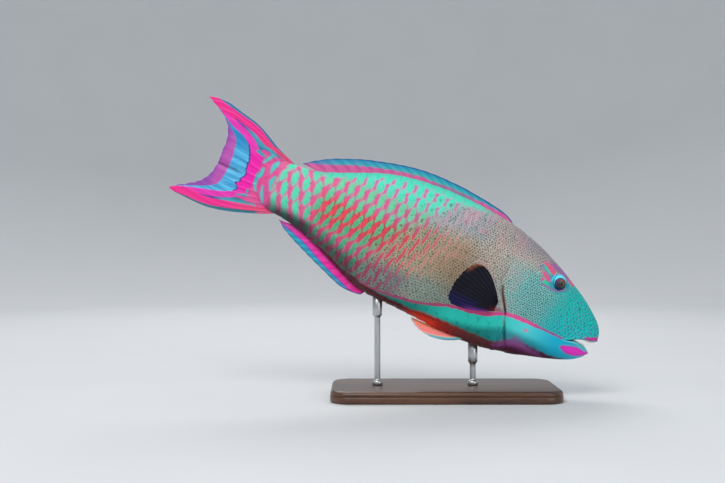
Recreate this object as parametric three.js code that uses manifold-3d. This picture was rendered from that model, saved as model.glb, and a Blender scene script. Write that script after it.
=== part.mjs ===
// A bicolour parrotfish, a terminal-phase male at life size, as a still museum model.
// It swims head down, its tail swung a little to its left, and rests on two rods over a plain base.
//
// Units are millimetres, with +Z up. The group's origin is the middle of the stand's underside.
// The fish faces +X and is drawn level first, in coordinates of its own: s is the distance
// behind the tip of the snout, so x = -s, y points to its left, and z is up from its axis.
// The whole fish is then pitched head down and lifted over the base.

import * as THREE from "three";
import { mergeVertices } from "three/addons/utils/BufferGeometryUtils.js";
import Module from "manifold-3d";

const wasm = await Module();
wasm.setup();

// Driving dimensions
const TOTAL_LENGTH = 606;
const BODY_LENGTH = 500;
const GAP = 0.3;
const PITCH = THREE.MathUtils.degToRad(24.2);
const SNOUT_HEIGHT = 78;
const SNOUT_AHEAD = 204;
const SWING_START = 360;
const SWING_AT_TIPS = 14;

// Colours and finishes
const skinTeal = new THREE.MeshStandardMaterial({ color: 0x4fb5a0, roughness: 0.42 });
const tailPink = new THREE.MeshStandardMaterial({ color: 0xd8588c, roughness: 0.42 });
const finBlue = new THREE.MeshStandardMaterial({ color: 0x2f9fbd, roughness: 0.4 });
const finPink = new THREE.MeshStandardMaterial({ color: 0xee3d8b, roughness: 0.4 });
const finBlack = new THREE.MeshStandardMaterial({ color: 0x14121f, roughness: 0.45 });
const finOrange = new THREE.MeshStandardMaterial({ color: 0xf07d68, roughness: 0.4 });
const eyeBrown = new THREE.MeshStandardMaterial({ color: 0x5a2a14, roughness: 0.12 });
const beakIvory = new THREE.MeshStandardMaterial({ color: 0xd8dcc8, roughness: 0.3 });
const standWood = new THREE.MeshStandardMaterial({ color: 0x3b2519, roughness: 0.45 });
const standSteel = new THREE.MeshStandardMaterial({
  color: 0xb4b6b8,
  roughness: 0.3,
  metalness: 0.9,
});

// A smooth curve through [s, value] pairs that never overshoots them.
function profile(points) {
  const xs = points.map((p) => p[0]);
  const ys = points.map((p) => p[1]);
  const last = xs.length - 1;
  const slope = (i) => (ys[i + 1] - ys[i]) / (xs[i + 1] - xs[i]);
  const tangent = xs.map((_, i) => {
    if (i === 0) return slope(0);
    if (i === last) return slope(last - 1);
    const before = slope(i - 1);
    const after = slope(i);
    return before * after <= 0 ? 0 : (2 * before * after) / (before + after);
  });
  return (s) => {
    if (s <= xs[0]) return ys[0];
    if (s >= xs[last]) return ys[last];
    const i = xs.findIndex((x) => x > s) - 1;
    const h = xs[i + 1] - xs[i];
    const t = (s - xs[i]) / h;
    return (
      ys[i] * (1 + 2 * t) * (1 - t) ** 2 +
      tangent[i] * h * t * (1 - t) ** 2 +
      ys[i + 1] * t * t * (3 - 2 * t) +
      tangent[i + 1] * h * t * t * (t - 1)
    );
  };
}

// The body without its fins: back and belly as seen from the side, half the width, the
// height where it is widest, and how square its section is above and below that height.
const back = profile([
  [0, 1.5], [2.5, 8], [5, 12.5], [10, 18.5], [20, 27], [40, 41], [60, 52], [80, 62.5],
  [100, 71.5], [120, 79.5], [150, 88.5], [180, 93.5], [210, 96.5], [250, 97.5], [290, 95],
  [320, 90.5], [350, 82], [380, 69.5], [400, 60.5], [420, 52.5], [440, 47], [455, 45.5],
  [470, 44.5], [482, 41], [492, 34], [498, 25], [BODY_LENGTH, 15],
]);
const belly = profile([
  [0, -5], [2, -14], [5, -24], [10, -31.5], [20, -39.5], [30, -44.5], [50, -52],
  [75, -59.5], [100, -66.5], [130, -73.5], [160, -77], [190, -77.5], [230, -75],
  [270, -73], [300, -72.5], [320, -69.5], [345, -60.5], [370, -50], [390, -42],
  [410, -35], [430, -29.5], [450, -26], [465, -25], [480, -21.5], [492, -14],
  [498, -5], [BODY_LENGTH, 5],
]);
const halfWidth = profile([
  [0, 0.6], [1.2, 5], [3, 8], [6, 11], [10, 13.5], [20, 17.5], [40, 23], [60, 27.5],
  [80, 31], [100, 34], [125, 37], [150, 38.5], [185, 39.5], [220, 38.5], [260, 36],
  [300, 32], [340, 27.5], [380, 22], [420, 17], [450, 13], [470, 9.6], [485, 6],
  [495, 3.2], [BODY_LENGTH, 2.2],
]);
const waist = profile([
  [0, -3], [10, -8], [25, -10], [60, -6], [100, -2], [150, 3], [220, 8], [350, 9],
  [BODY_LENGTH, 10],
]);
const upperPower = profile([[0, 2.2], [30, 2.3], [80, 2.5], [150, 2.3], [230, 2.1], [500, 2.2]]);
const lowerPower = profile([[0, 2.2], [30, 2.4], [100, 2.5], [200, 2.6], [330, 2.3], [500, 2.2]]);

// How far out the skin is at s, at height z.
function skinY(s, z) {
  const above = z > waist(s);
  const reach = above ? back(s) - waist(s) : waist(s) - belly(s);
  const power = above ? upperPower(s) : lowerPower(s);
  const t = Math.min(1, Math.abs(z - waist(s)) / reach);
  return halfWidth(s) * (1 - t ** power) ** (1 / power);
}

// One closed section of the body as evenly spaced points, from the back down the left side
// to the belly and up the right side.
function section(s, around) {
  const fine = 160;
  const outline = [];
  for (let i = 0; i <= fine; i++) {
    const angle = Math.PI / 2 - (i / fine) * Math.PI;
    const above = angle > 0;
    const power = above ? upperPower(s) : lowerPower(s);
    const reach = above ? back(s) - waist(s) : waist(s) - belly(s);
    const y = halfWidth(s) * Math.abs(Math.cos(angle)) ** (2 / power);
    const z = waist(s) + Math.sign(angle) * reach * Math.abs(Math.sin(angle)) ** (2 / power);
    outline.push(new THREE.Vector2(y, z));
  }
  const run = [0];
  for (let i = 1; i <= fine; i++) run.push(run[i - 1] + outline[i].distanceTo(outline[i - 1]));
  const left = [];
  const half = around / 2;
  for (let k = 0, i = 0; k <= half; k++) {
    const target = (k / half) * run[fine];
    while (i < fine - 1 && run[i + 1] < target) i++;
    const t = THREE.MathUtils.clamp((target - run[i]) / (run[i + 1] - run[i]), 0, 1);
    left.push(outline[i].clone().lerp(outline[i + 1], t));
  }
  const right = left.slice(1, half).reverse();
  return [
    ...left.map((p) => new THREE.Vector3(-s, p.x, p.y)),
    ...right.map((p) => new THREE.Vector3(-s, -p.x, p.y)),
  ];
}

function geometryOf(points, triangles) {
  const flat = new Float32Array(points.length * 3);
  points.forEach((p, i) => flat.set([p.x, p.y, p.z], i * 3));
  return new THREE.BufferGeometry()
    .setAttribute("position", new THREE.BufferAttribute(flat, 3))
    .setIndex(triangles);
}

// A closed skin over the sections at the given stations, pushed out by relief(s, y, z).
function loft(stations, around, relief) {
  const points = stations.flatMap((s) => section(s, around));
  const triangles = [];
  for (let r = 0; r < stations.length - 1; r++) {
    for (let k = 0; k < around; k++) {
      const a = r * around + k;
      const b = r * around + ((k + 1) % around);
      triangles.push(a, b, a + around, b, b + around, a + around);
    }
  }
  const middle = (r) => {
    const ring = points.slice(r * around, (r + 1) * around);
    const centre = new THREE.Vector3();
    ring.forEach((p) => centre.addScaledVector(p, 1 / around));
    return points.push(centre) - 1;
  };
  const front = middle(0);
  const rear = middle(stations.length - 1);
  const lastRing = (stations.length - 1) * around;
  for (let k = 0; k < around; k++) {
    const next = (k + 1) % around;
    triangles.push(front, next, k, rear, lastRing + k, lastRing + next);
  }
  const made = geometryOf(points, triangles);
  made.computeVertexNormals();
  const normals = made.getAttribute("normal");
  points.forEach((p, i) => {
    const normal = new THREE.Vector3().fromBufferAttribute(normals, i);
    p.addScaledVector(normal, relief(-p.x, p.y, p.z));
  });
  return geometryOf(points, triangles);
}

// A solid ready to be cut and joined.
function solid(geometry) {
  const bare = geometry.clone();
  bare.deleteAttribute("normal");
  bare.deleteAttribute("uv");
  const merged = mergeVertices(bare, 1e-4);
  const made = new wasm.Manifold(
    new wasm.Mesh({
      numProp: 3,
      vertProperties: merged.attributes.position.array,
      triVerts: new Uint32Array(merged.index.array),
    }),
  );
  if (made.volume() < 0) throw new Error("a solid is inside out");
  return made;
}

function largest(made) {
  return made.decompose().sort((a, b) => b.volume() - a.volume())[0];
}

function geometryOfSolid(made) {
  const mesh = made.getMesh();
  const flat = new Float32Array(mesh.numVert * 3);
  for (let i = 0; i < mesh.numVert; i++) {
    const at = i * mesh.numProp;
    flat.set(mesh.vertProperties.subarray(at, at + 3), i * 3);
  }
  return new THREE.BufferGeometry()
    .setAttribute("position", new THREE.BufferAttribute(flat, 3))
    .setIndex(new THREE.BufferAttribute(mesh.triVerts, 1));
}

// A side-view outline of [s, z] points, cut right through the fish from side to side.
function sideCutter(outline) {
  const depth = 200;
  const shape = new THREE.Shape(outline.map(([s, z]) => new THREE.Vector2(-s, z)));
  const cutter = new THREE.ExtrudeGeometry(shape, { depth, bevelEnabled: false });
  cutter.rotateX(Math.PI / 2).translate(0, depth / 2, 0);
  return solid(cutter);
}

// Lines that part the body, as [s, z] from the top down.
const gillEdge = [
  [136, 110], [140, 72], [146, 48], [151, 31], [152.5, 17], [149, 9.5], [146, 2.5], [141, -5],
  [136, -12], [132, -18], [130, -22], [127.5, -30], [123, -39.5], [118.5, -47.5], [114, -54.5],
  [109, -60], [101, -72], [95, -90],
];
const upperLip = [
  [-6, -5], [0, -5], [5, -6.6], [10.5, -8], [18, -8.8], [25.5, -11.2], [31, -13.7], [37.5, -17.1],
  [43, -20.1],
];
const lowerLip = [
  [43, -20.9], [40.5, -20], [34, -18], [29, -17], [23.5, -17.1], [18, -17.8], [12.5, -20.2],
  [8, -22.3], [4, -23.6], [-6, -24],
];
const jawJoint = [[49, -30], [53, -42], [55, -56], [55, -90]];
const STALK_START = 436;

const shifted = (line, by) => line.map(([s, z]) => [s + by, z]);
const upward = (line) => [...line].reverse();
const FAR = 130;

const headRegion = sideCutter([
  ...upperLip, ...shifted(jawJoint, GAP), ...upward(gillEdge), [-6, 110],
]);
const jawRegion = sideCutter([...upward(lowerLip), ...jawJoint, [-6, -90]]);
const trunkRegion = sideCutter([
  ...shifted(gillEdge, GAP), [STALK_START, -FAR], [STALK_START, FAR], [136 + GAP, FAR],
]);
const stalkRegion = sideCutter([
  [STALK_START + GAP, -FAR], [TOTAL_LENGTH, -FAR], [TOTAL_LENGTH, FAR], [STALK_START + GAP, FAR],
]);

// The eye: where its middle is seen from the side, its radius, and how far it stands out.
const EYE_S = 82;
const EYE_Z = 45;
const EYE_RADIUS = 10.5;
const EYE_SUNK = 6.2;
const ORBIT_RADIUS = 9.9;
const ORBIT_RIM = 1.7;
const ORBIT_SUNK = 1.2;

// The gill cover stands out from the body towards its rear edge.
const GILL_FLARE = 2.4;
const gillAt = profile(upward(gillEdge).map(([s, z]) => [z, s]));
function headRelief(s, y, z) {
  const ahead = gillAt(z) - s;
  const lift = THREE.MathUtils.smoothstep(40 - ahead, 0, 38) * (ahead > -4 ? 1 : 0);
  const low = THREE.MathUtils.smoothstep(z, -72, -50);
  const high = 1 - THREE.MathUtils.smoothstep(z, 18, 46);
  return GILL_FLARE * lift * low * high;
}
const smooth = () => 0;

// Stations are closest where the body turns fastest.
const AROUND = 44;
const STALK_AROUND = 36;
const headStations = [
  0, 1, 2.5, 5, 8, 12, 17, 23, 30, 38, 47, 57, 68, 80, 92, 104, 115, 125, 134, 142, 150, 160,
];
const trunkStations = [];
for (let s = 88; s < STALK_START + 12; s += 12) trunkStations.push(s);
const stalkStations = [425, 436, 447, 458, 468, 476, 483, 489, 494, 498, BODY_LENGTH];

const headSkin = solid(loft(headStations, AROUND, headRelief));
const trunkSkin = solid(loft(trunkStations, AROUND, smooth));
const stalkSkin = solid(loft(stalkStations, STALK_AROUND, smooth));

// The whole body, grown by the gap that its fins and its rods keep from it.
const grownStations = [
  ...headStations,
  ...trunkStations.filter((s) => s > headStations.at(-1) + 2),
  ...stalkStations.filter((s) => s > trunkStations.at(-1)),
];
const clearOfBody = solid(loft(grownStations, AROUND, () => GAP));

// The eyes, set in their sockets. side is 1 on the fish's left and -1 on its right.
function eyeCentre(side) {
  return new THREE.Vector3(-EYE_S, side * (skinY(EYE_S, EYE_Z) - EYE_SUNK), EYE_Z);
}
function skinNormal(s, z, side) {
  const slopeS = (skinY(s + 1, z) - skinY(s - 1, z)) / 2;
  const slopeZ = (skinY(s, z + 1) - skinY(s, z - 1)) / 2;
  return new THREE.Vector3(slopeS, side, -slopeZ).normalize();
}
function eyeAxis(side) {
  return new THREE.Vector3(0.17, side, -0.08).normalize();
}
function eyeBall(side, radius) {
  const ball = new THREE.SphereGeometry(radius, 20, 12);
  const turn = new THREE.Quaternion().setFromUnitVectors(new THREE.Vector3(0, 1, 0), eyeAxis(side));
  const centre = eyeCentre(side);
  return solid(ball.applyQuaternion(turn).translate(centre.x, centre.y, centre.z));
}
function orbitRim(side) {
  const ring = new THREE.TorusGeometry(ORBIT_RADIUS, ORBIT_RIM, 6, 22);
  const axis = skinNormal(EYE_S, EYE_Z, side);
  const turn = new THREE.Quaternion().setFromUnitVectors(new THREE.Vector3(0, 0, 1), axis);
  const centre = eyeCentre(side).addScaledVector(axis, EYE_SUNK - ORBIT_SUNK);
  return solid(ring.applyQuaternion(turn).translate(centre.x, centre.y, centre.z));
}

// Two small nostrils on each side, ahead of the eye.
const NOSTRILS = [[67, 43.5, 1.5], [61.5, 41, 1.1]];
function nostril(side, [s, z, radius]) {
  const pit = new THREE.SphereGeometry(radius, 8, 6);
  return solid(pit.translate(-s, side * skinY(s, z), z));
}

// A fleshy lip, a tube laid along a jaw's edge round the front of the mouth.
const LIP_RADIUS = 1.7;
const LIP_SUNK = 0.8;
function lip(line, rise) {
  const edge = line.map(([s, z]) => new THREE.Vector3(-s, skinY(s, z + rise) - LIP_SUNK, z + rise));
  const other = upward(edge).map((p) => new THREE.Vector3(p.x, -p.y, p.z));
  const path = new THREE.CatmullRomCurve3([...edge, ...other]);
  const round = new THREE.Shape().absarc(0, 0, LIP_RADIUS, 0, 2 * Math.PI);
  return solid(
    new THREE.ExtrudeGeometry(round, {
      extrudePath: path,
      steps: 30,
      curveSegments: 3,
      bevelEnabled: false,
    }),
  );
}
const upperLipLine = [
  [42.5, -19.6], [37.5, -17.1], [31, -13.7], [25.5, -11.2], [18, -8.8], [10.5, -8], [3, -6],
];
const lowerLipLine = [
  [42.5, -21.2], [34, -18], [29, -17], [23.5, -17.1], [18, -17.8], [12.5, -20.2], [8.2, -22.2],
];
const upperLipTube = lip(upperLipLine, LIP_RADIUS);
const lowerLipTube = lip(lowerLipLine, -LIP_RADIUS);

// The hollow of the mouth behind the beak: an egg of these half sizes, tipped like the gape.
const MOUTH_HALF = [17, 9.5, 8];
const MOUTH_MIDDLE = [-22, 0, -14.5];
const MOUTH_TIP = 0.42;
const mouthHollow = solid(
  new THREE.SphereGeometry(1, 16, 10)
    .scale(...MOUTH_HALF)
    .rotateY(MOUTH_TIP)
    .translate(...MOUTH_MIDDLE),
);

function makeHead() {
  let head = headSkin.intersect(headRegion).add(upperLipTube).subtract(mouthHollow);
  for (const side of [1, -1]) {
    head = head.add(orbitRim(side)).subtract(eyeBall(side, EYE_RADIUS + GAP));
    for (const place of NOSTRILS) head = head.subtract(nostril(side, place));
  }
  return largest(head);
}

function makeJaw() {
  return largest(headSkin.intersect(jawRegion).add(lowerLipTube).subtract(mouthHollow));
}

// The beak: the fused teeth of each jaw, a curved plate just inside the lip.
const BEAK_INSET = 2.3;
const BEAK_THICK = 2.2;
const beakStations = [0, 1, 2.5, 5, 8, 12, 17, 23, 30, 38, 44];
const beakOuter = solid(loft(beakStations, AROUND, () => -BEAK_INSET));
const beakInner = solid(loft(beakStations, AROUND, () => -BEAK_INSET - BEAK_THICK));
const beakShell = beakOuter.subtract(beakInner);
const upperBeakSide = [
  [-6, -5], [0, -5], [5, -6.6], [10.5, -8], [18, -8.8], [25.5, -11.2], [25.5, -11.8], [18, -10.6],
  [10.5, -10.2], [5, -9.2], [0, -8], [-6, -7.5],
];
const lowerBeakSide = [
  [-6, -22], [4, -21.4], [8, -19.9], [12.5, -17.8], [18, -15.8], [23.5, -16], [27, -16.4],
  [29, -17], [23.5, -17.1], [18, -17.8], [12.5, -20.2], [8, -22.3], [4, -23.6], [-6, -24],
];
function beak(side, clear, lipTube, away) {
  const lowered = side.map(([s, z]) => [s, z + away]);
  return largest(beakShell.intersect(sideCutter(lowered)).subtract(clear).subtract(lipTube));
}

// A ray that runs from root(t) past bow(t) to tip(t).
const bowed = (root, bow, tip) => (t, v) =>
  new THREE.QuadraticBezierCurve3(root(t), bow(t), tip(t)).getPoint(v);

// A fin of rays and membrane. ray(t, v) is a point on the fin's middle surface: t runs from 0 at
// the first ray to 1 at the last, and v from 0 at the root to 1 at the outer edge. The rays
// stand up as ridges on both faces, and the membrane between them is half as thick and is
// notched at the edge.
const WEB = 0.5;
const fine = { rootHalf: 1.5, tipHalf: 0.4, notch: 0.02 };
function rayFan({ rays, from = 0, to = 1, segments, ray, rootHalf, tipHalf, notch }) {
  const columns = 2 * (rays - 1);
  const middle = [];
  for (let c = 0; c <= columns; c++) {
    const t = from + (to - from) * (c / columns);
    const reach = c % 2 ? 1 - notch : 1;
    for (let j = 0; j <= segments; j++) middle.push(ray(t, (j / segments) * reach));
  }
  const row = segments + 1;
  const at = (c, j) => middle[c * row + j];
  const front = [];
  const rear = [];
  for (let c = 0; c <= columns; c++) {
    for (let j = 0; j <= segments; j++) {
      const across = at(Math.min(c + 1, columns), j).clone().sub(at(Math.max(c - 1, 0), j));
      const along = at(c, Math.min(j + 1, segments)).clone().sub(at(c, Math.max(j - 1, 0)));
      const normal = across.cross(along).normalize();
      const thin = c % 2 ? WEB : 1;
      const half = THREE.MathUtils.lerp(rootHalf, tipHalf, j / segments) * thin;
      front.push(at(c, j).clone().addScaledVector(normal, half));
      rear.push(at(c, j).clone().addScaledVector(normal, -half));
    }
  }
  const count = front.length;
  const triangles = [];
  const quad = (a, b, c, d) => triangles.push(a, b, c, a, c, d);
  for (let c = 0; c < columns; c++) {
    for (let j = 0; j < segments; j++) {
      const a = c * row + j;
      quad(a, a + row, a + row + 1, a + 1);
      triangles.push(count + a, count + a + row + 1, count + a + row);
      triangles.push(count + a, count + a + 1, count + a + row + 1);
    }
    const root0 = c * row;
    const tip0 = root0 + segments;
    quad(root0 + row, root0, count + root0, count + root0 + row);
    quad(tip0, tip0 + row, count + tip0 + row, count + tip0);
  }
  for (let j = 0; j < segments; j++) {
    const last = columns * row + j;
    quad(j, j + 1, count + j + 1, count + j);
    quad(last + 1, last, count + last, count + last + 1);
  }
  const made = geometryOf([...front, ...rear], triangles);
  return solid(made);
}

const flat = (s, z) => new THREE.Vector3(-s, 0, z);
const aside = (side) => (s, z, out) => new THREE.Vector3(-s, side * out, z);
const finned = (fan) => largest(rayFan(fan).subtract(clearOfBody));

// The dorsal fin lies half folded, so its rays lean far back.
const DORSAL_START = 163;
const DORSAL_END = 426;
const dorsalEdge = profile([
  [163, 92.5], [180, 100], [200, 104], [225, 107], [250, 109], [275, 109.3], [300, 108],
  [320, 105], [340, 100.5], [360, 95], [380, 89], [400, 81], [420, 72], [440, 60], [452, 50.5],
]);
function makeDorsal() {
  const rootAt = (t) => THREE.MathUtils.lerp(DORSAL_START, DORSAL_END, t);
  const lean = profile([[0, 7], [0.1, 20], [0.5, 28], [0.9, 30], [1, 26]]);
  const root = (t) => flat(rootAt(t), back(rootAt(t)) - 3);
  const tip = (t) => flat(rootAt(t) + lean(t), dorsalEdge(rootAt(t) + lean(t)));
  const bow = (t) => flat(rootAt(t) + 0.42 * lean(t), (root(t).z + tip(t).z) / 2 + 1.6);
  return finned({ ...fine, rays: 20, segments: 4, ray: bowed(root, bow, tip), tipHalf: 0.45 });
}

// The anal fin under the rear of the belly.
const ANAL_START = 307;
const ANAL_END = 427;
const analEdge = profile([
  [307, -74.5], [314, -77.3], [324, -78.5], [336, -78.3], [350, -74.7], [370, -67.3], [390, -60],
  [410, -52], [430, -43.5], [440, -38.5], [451, -30],
]);
function makeAnal() {
  const rootAt = (t) => THREE.MathUtils.lerp(ANAL_START, ANAL_END, t);
  const lean = profile([[0, 4], [0.15, 15], [0.6, 24], [1, 24]]);
  const root = (t) => flat(rootAt(t), belly(rootAt(t)) + 3);
  const tip = (t) => flat(rootAt(t) + lean(t), analEdge(rootAt(t) + lean(t)));
  const bow = (t) => flat(rootAt(t) + 0.42 * lean(t), (root(t).z + tip(t).z) / 2 - 1.6);
  return finned({ ...fine, rays: 12, segments: 4, ray: bowed(root, bow, tip), tipHalf: 0.45 });
}

// The tail fin, deeply hollowed between two pointed lobes. t is 0 at its top edge, and each
// lobe is drawn between that edge, or the bottom one, and the straight middle ray.
const tailTop = profile([
  [456, 42], [465, 46.5], [480, 52], [490, 56], [500, 61], [510, 66.3], [520, 71], [530, 74.7],
  [540, 77.2], [550, 79.2], [562, 82], [577, 85], [590, 85], [599, 83.5], [606, 81.5],
]);
const tailFoot = profile([
  [456, -23], [465, -28.5], [475, -33], [490, -38.5], [505, -44], [520, -48.7], [535, -52.2],
  [550, -54.3], [565, -54.6], [580, -54], [592, -53.8], [600, -52.6], [605, -50.5],
]);
const tailTipS = profile([
  [0, 606], [0.06, 598], [0.12, 587], [0.18, 575], [0.25, 565], [0.32, 560.5], [0.4, 558],
  [0.5, 557.5], [0.6, 559], [0.68, 562.5], [0.76, 569], [0.83, 577], [0.9, 588], [0.96, 598],
  [1, 605],
]);
const tailTipZ = profile([
  [0, 81.5], [0.06, 77.5], [0.12, 72], [0.18, 65.5], [0.25, 55.5], [0.32, 44.5], [0.4, 30.5],
  [0.5, 10], [0.6, -6], [0.68, -16], [0.76, -25], [0.83, -31.5], [0.9, -38.5], [0.96, -44.5],
  [1, -50.5],
]);
const TAIL_START = 456;
const TAIL_BULGE = 10;
const LOBE_RAYS = 8;
const LOBE_GAP = 0.0022;
const tailMiddle = { root: flat(492, 9), tip: flat(557.5, 10) };
function makeTailLobe(from, to) {
  const upper = from === 0;
  const edgeHeight = upper ? tailTop : tailFoot;
  const edge = (v) => {
    const s = THREE.MathUtils.lerp(TAIL_START, tailTipS(upper ? 0 : 1), v);
    return flat(s, edgeHeight(s));
  };
  const middle = (v) => tailMiddle.root.clone().lerp(tailMiddle.tip, v);
  const root = (t) => {
    const angle = Math.abs(t - 0.5) * Math.PI;
    const reach = Math.sin(angle) ** 0.9;
    return middle(0).lerp(edge(0), reach).add(flat(TAIL_BULGE * Math.sin(2 * angle), 0));
  };
  const tip = (t) => flat(tailTipS(t), tailTipZ(t));
  const ray = (t, v) => {
    const w = 2 * Math.abs(t - 0.5);
    const between = edge(v).multiplyScalar(w).addScaledVector(middle(v), 1 - w);
    const along = root(t).multiplyScalar(1 - v).addScaledVector(tip(t), v);
    const near = edge(0).multiplyScalar(w).addScaledVector(middle(0), 1 - w);
    const far = edge(1).multiplyScalar(w).addScaledVector(middle(1), 1 - w);
    return between.add(along).addScaledVector(near, v - 1).addScaledVector(far, -v);
  };
  return finned({
    rays: LOBE_RAYS, from, to, segments: 9, ray, rootHalf: 1.9, tipHalf: 0.5, notch: 0.01,
  });
}

// A pectoral fin, spread and standing out from the side.
function makePectoral(side) {
  const baseS = profile([[0, 148.5], [1, 146]]);
  const baseZ = profile([[0, -14.5], [1, -23]]);
  const tipS = profile([
    [0, 191], [0.1, 198], [0.28, 207], [0.5, 211.5], [0.7, 213], [0.88, 211], [1, 204],
  ]);
  const tipZ = profile([
    [0, 22.5], [0.1, 21], [0.28, 9.5], [0.5, -6], [0.7, -19.5], [0.88, -31], [1, -37],
  ]);
  const place = aside(side);
  const rootY = skinY(147, -19);
  const outward = (t) => THREE.MathUtils.lerp(0.92, 0.5, t);
  const root = (t) => place(baseS(t) - 2, baseZ(t), rootY - 4);
  const tip = (t) => {
    const reach = Math.hypot(tipS(t) - baseS(t), tipZ(t) - baseZ(t));
    return place(tipS(t), tipZ(t), rootY + outward(t) * reach - 3);
  };
  const bow = (t) => {
    const s = THREE.MathUtils.lerp(161, 171, t);
    const z = THREE.MathUtils.lerp(20, -32, t ** 0.85);
    return place(s, z, rootY + outward(t) * 27 + 2);
  };
  return finned({ ...fine, rays: 13, segments: 6, ray: bowed(root, bow, tip) });
}

// A pelvic fin, half folded under the belly.
function makePelvic(side) {
  const tipS = profile([[0, 210], [0.3, 222], [0.65, 233], [1, 238]]);
  const tipZ = profile([[0, -90], [0.3, -87], [0.65, -82], [1, -79.5]]);
  const place = aside(side);
  const root = (t) => place(164 + 9 * t, -72, 15 - 7 * t);
  const tip = (t) => place(tipS(t), tipZ(t), 30 - 22 * t);
  const bow = (t) => place(186 + 12 * t, -90 + 7 * t, 24 - 15 * t);
  return finned({ ...fine, rays: 6, segments: 6, ray: bowed(root, bow, tip) });
}

// The stand: a rounded plate and two steel rods with a collar at each end.
const BASE_LENGTH = 300;
const BASE_WIDTH = 132;
const BASE_THICK = 16;
const BASE_CORNER = 26;
const BASE_ROUND = 3;
const ROD_RADIUS = 4;
const COLLAR_RADIUS = 7;
const COLLAR_HEIGHT = 7;
const PAD_RADIUS = 6.5;
const PAD_LENGTH = 12;
const SHOULDER = 2;
const FRONT_ROD_S = 148;
const REAR_ROD_S = 288;

function makeBase() {
  const a = BASE_LENGTH / 2 - BASE_ROUND;
  const b = BASE_WIDTH / 2 - BASE_ROUND;
  const r = BASE_CORNER - BASE_ROUND;
  const shape = new THREE.Shape()
    .absarc(a - r, b - r, r, 0, Math.PI / 2)
    .absarc(r - a, b - r, r, Math.PI / 2, Math.PI)
    .absarc(r - a, r - b, r, Math.PI, 1.5 * Math.PI)
    .absarc(a - r, r - b, r, 1.5 * Math.PI, 2 * Math.PI);
  const plate = new THREE.ExtrudeGeometry(shape, {
    depth: BASE_THICK - 2 * BASE_ROUND,
    bevelThickness: BASE_ROUND,
    bevelSize: BASE_ROUND,
    bevelSegments: 2,
    curveSegments: 8,
  });
  return solid(plate.translate(0, 0, BASE_ROUND));
}

// The fish as it is set on the stand.
const pose = new THREE.Matrix4()
  .makeTranslation(SNOUT_AHEAD, 0, SNOUT_HEIGHT)
  .multiply(new THREE.Matrix4().makeRotationY(PITCH));
const bodyInPlace = clearOfBody.transform(pose.elements);

function makeRod(s) {
  const foot = new THREE.Vector3(-s, 0, belly(s)).applyMatrix4(pose);
  const bottom = BASE_THICK + GAP;
  const top = foot.z + PAD_LENGTH;
  const shoulder = foot.z - PAD_LENGTH;
  const profilePoints = [
    [0, bottom], [COLLAR_RADIUS, bottom], [COLLAR_RADIUS, bottom + COLLAR_HEIGHT - SHOULDER],
    [ROD_RADIUS, bottom + COLLAR_HEIGHT], [ROD_RADIUS, shoulder - SHOULDER],
    [PAD_RADIUS, shoulder], [PAD_RADIUS, top], [0, top],
  ].map(([r, z]) => new THREE.Vector2(r, z));
  const rod = new THREE.LatheGeometry(profilePoints, 16).rotateX(Math.PI / 2);
  rod.translate(foot.x, 0, 0);
  return largest(solid(rod).subtract(bodyInPlace));
}

// The swing of the tail to the fish's left, which carries all that lies behind its start.
function swung(geometry) {
  const position = geometry.getAttribute("position");
  for (let i = 0; i < position.count; i++) {
    const along = (-position.getX(i) - SWING_START) / (TOTAL_LENGTH - SWING_START);
    position.setY(i, position.getY(i) + SWING_AT_TIPS * Math.max(0, along) ** 2);
  }
  return geometry;
}

const fish = new THREE.Group();
fish.rotation.y = PITCH;
fish.position.set(SNOUT_AHEAD, 0, SNOUT_HEIGHT);
const stand = new THREE.Group();

function addPart(group, name, made, material) {
  const shaped = geometryOfSolid(made);
  const mesh = new THREE.Mesh(group === fish ? swung(shaped) : shaped, material);
  mesh.name = name;
  group.add(mesh);
}

const upperBeak = beak(upperBeakSide, headSkin.intersect(headRegion), upperLipTube, -GAP);
const lowerBeak = beak(lowerBeakSide, headSkin.intersect(jawRegion), lowerLipTube, GAP);
addPart(fish, "head", makeHead(), skinTeal);
addPart(fish, "lower_jaw", makeJaw(), skinTeal);
addPart(fish, "beak_upper", upperBeak, beakIvory);
addPart(fish, "beak_lower", lowerBeak, beakIvory);
addPart(fish, "trunk", largest(trunkSkin.intersect(trunkRegion)), skinTeal);
addPart(fish, "tail_stalk", largest(stalkSkin.intersect(stalkRegion)), tailPink);
addPart(fish, "dorsal_fin", makeDorsal(), finBlue);
addPart(fish, "anal_fin", makeAnal(), finPink);
addPart(fish, "tail_fin_upper", makeTailLobe(0, 0.5 - LOBE_GAP), finPink);
addPart(fish, "tail_fin_lower", makeTailLobe(0.5 + LOBE_GAP, 1), finPink);
for (const [side, word] of [[1, "left"], [-1, "right"]]) {
  addPart(fish, `eye_${word}`, eyeBall(side, EYE_RADIUS), eyeBrown);
  addPart(fish, `pectoral_fin_${word}`, makePectoral(side), finBlack);
  addPart(fish, `pelvic_fin_${word}`, makePelvic(side), finOrange);
}
addPart(stand, "stand_base", makeBase(), standWood);
addPart(stand, "stand_rod_front", makeRod(FRONT_ROD_S), standSteel);
addPart(stand, "stand_rod_rear", makeRod(REAR_ROD_S), standSteel);

const parrotfish = new THREE.Group();
parrotfish.add(fish, stand);

export default parrotfish;
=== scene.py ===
"""A bicolour parrotfish at life size, as a still museum model on a display stand.

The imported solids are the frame. The fish is drawn level first, in millimetres: s runs back from the
tip of the snout, y to the fish's left and z up from its axis. place() then swings the tail, pitches
the fish head down over its base and turns millimetres into metres. Markings were measured side on,
in the plane through the middle of the fish, so seen_from_the_side() takes a point to that plane.
"""

import math

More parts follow.
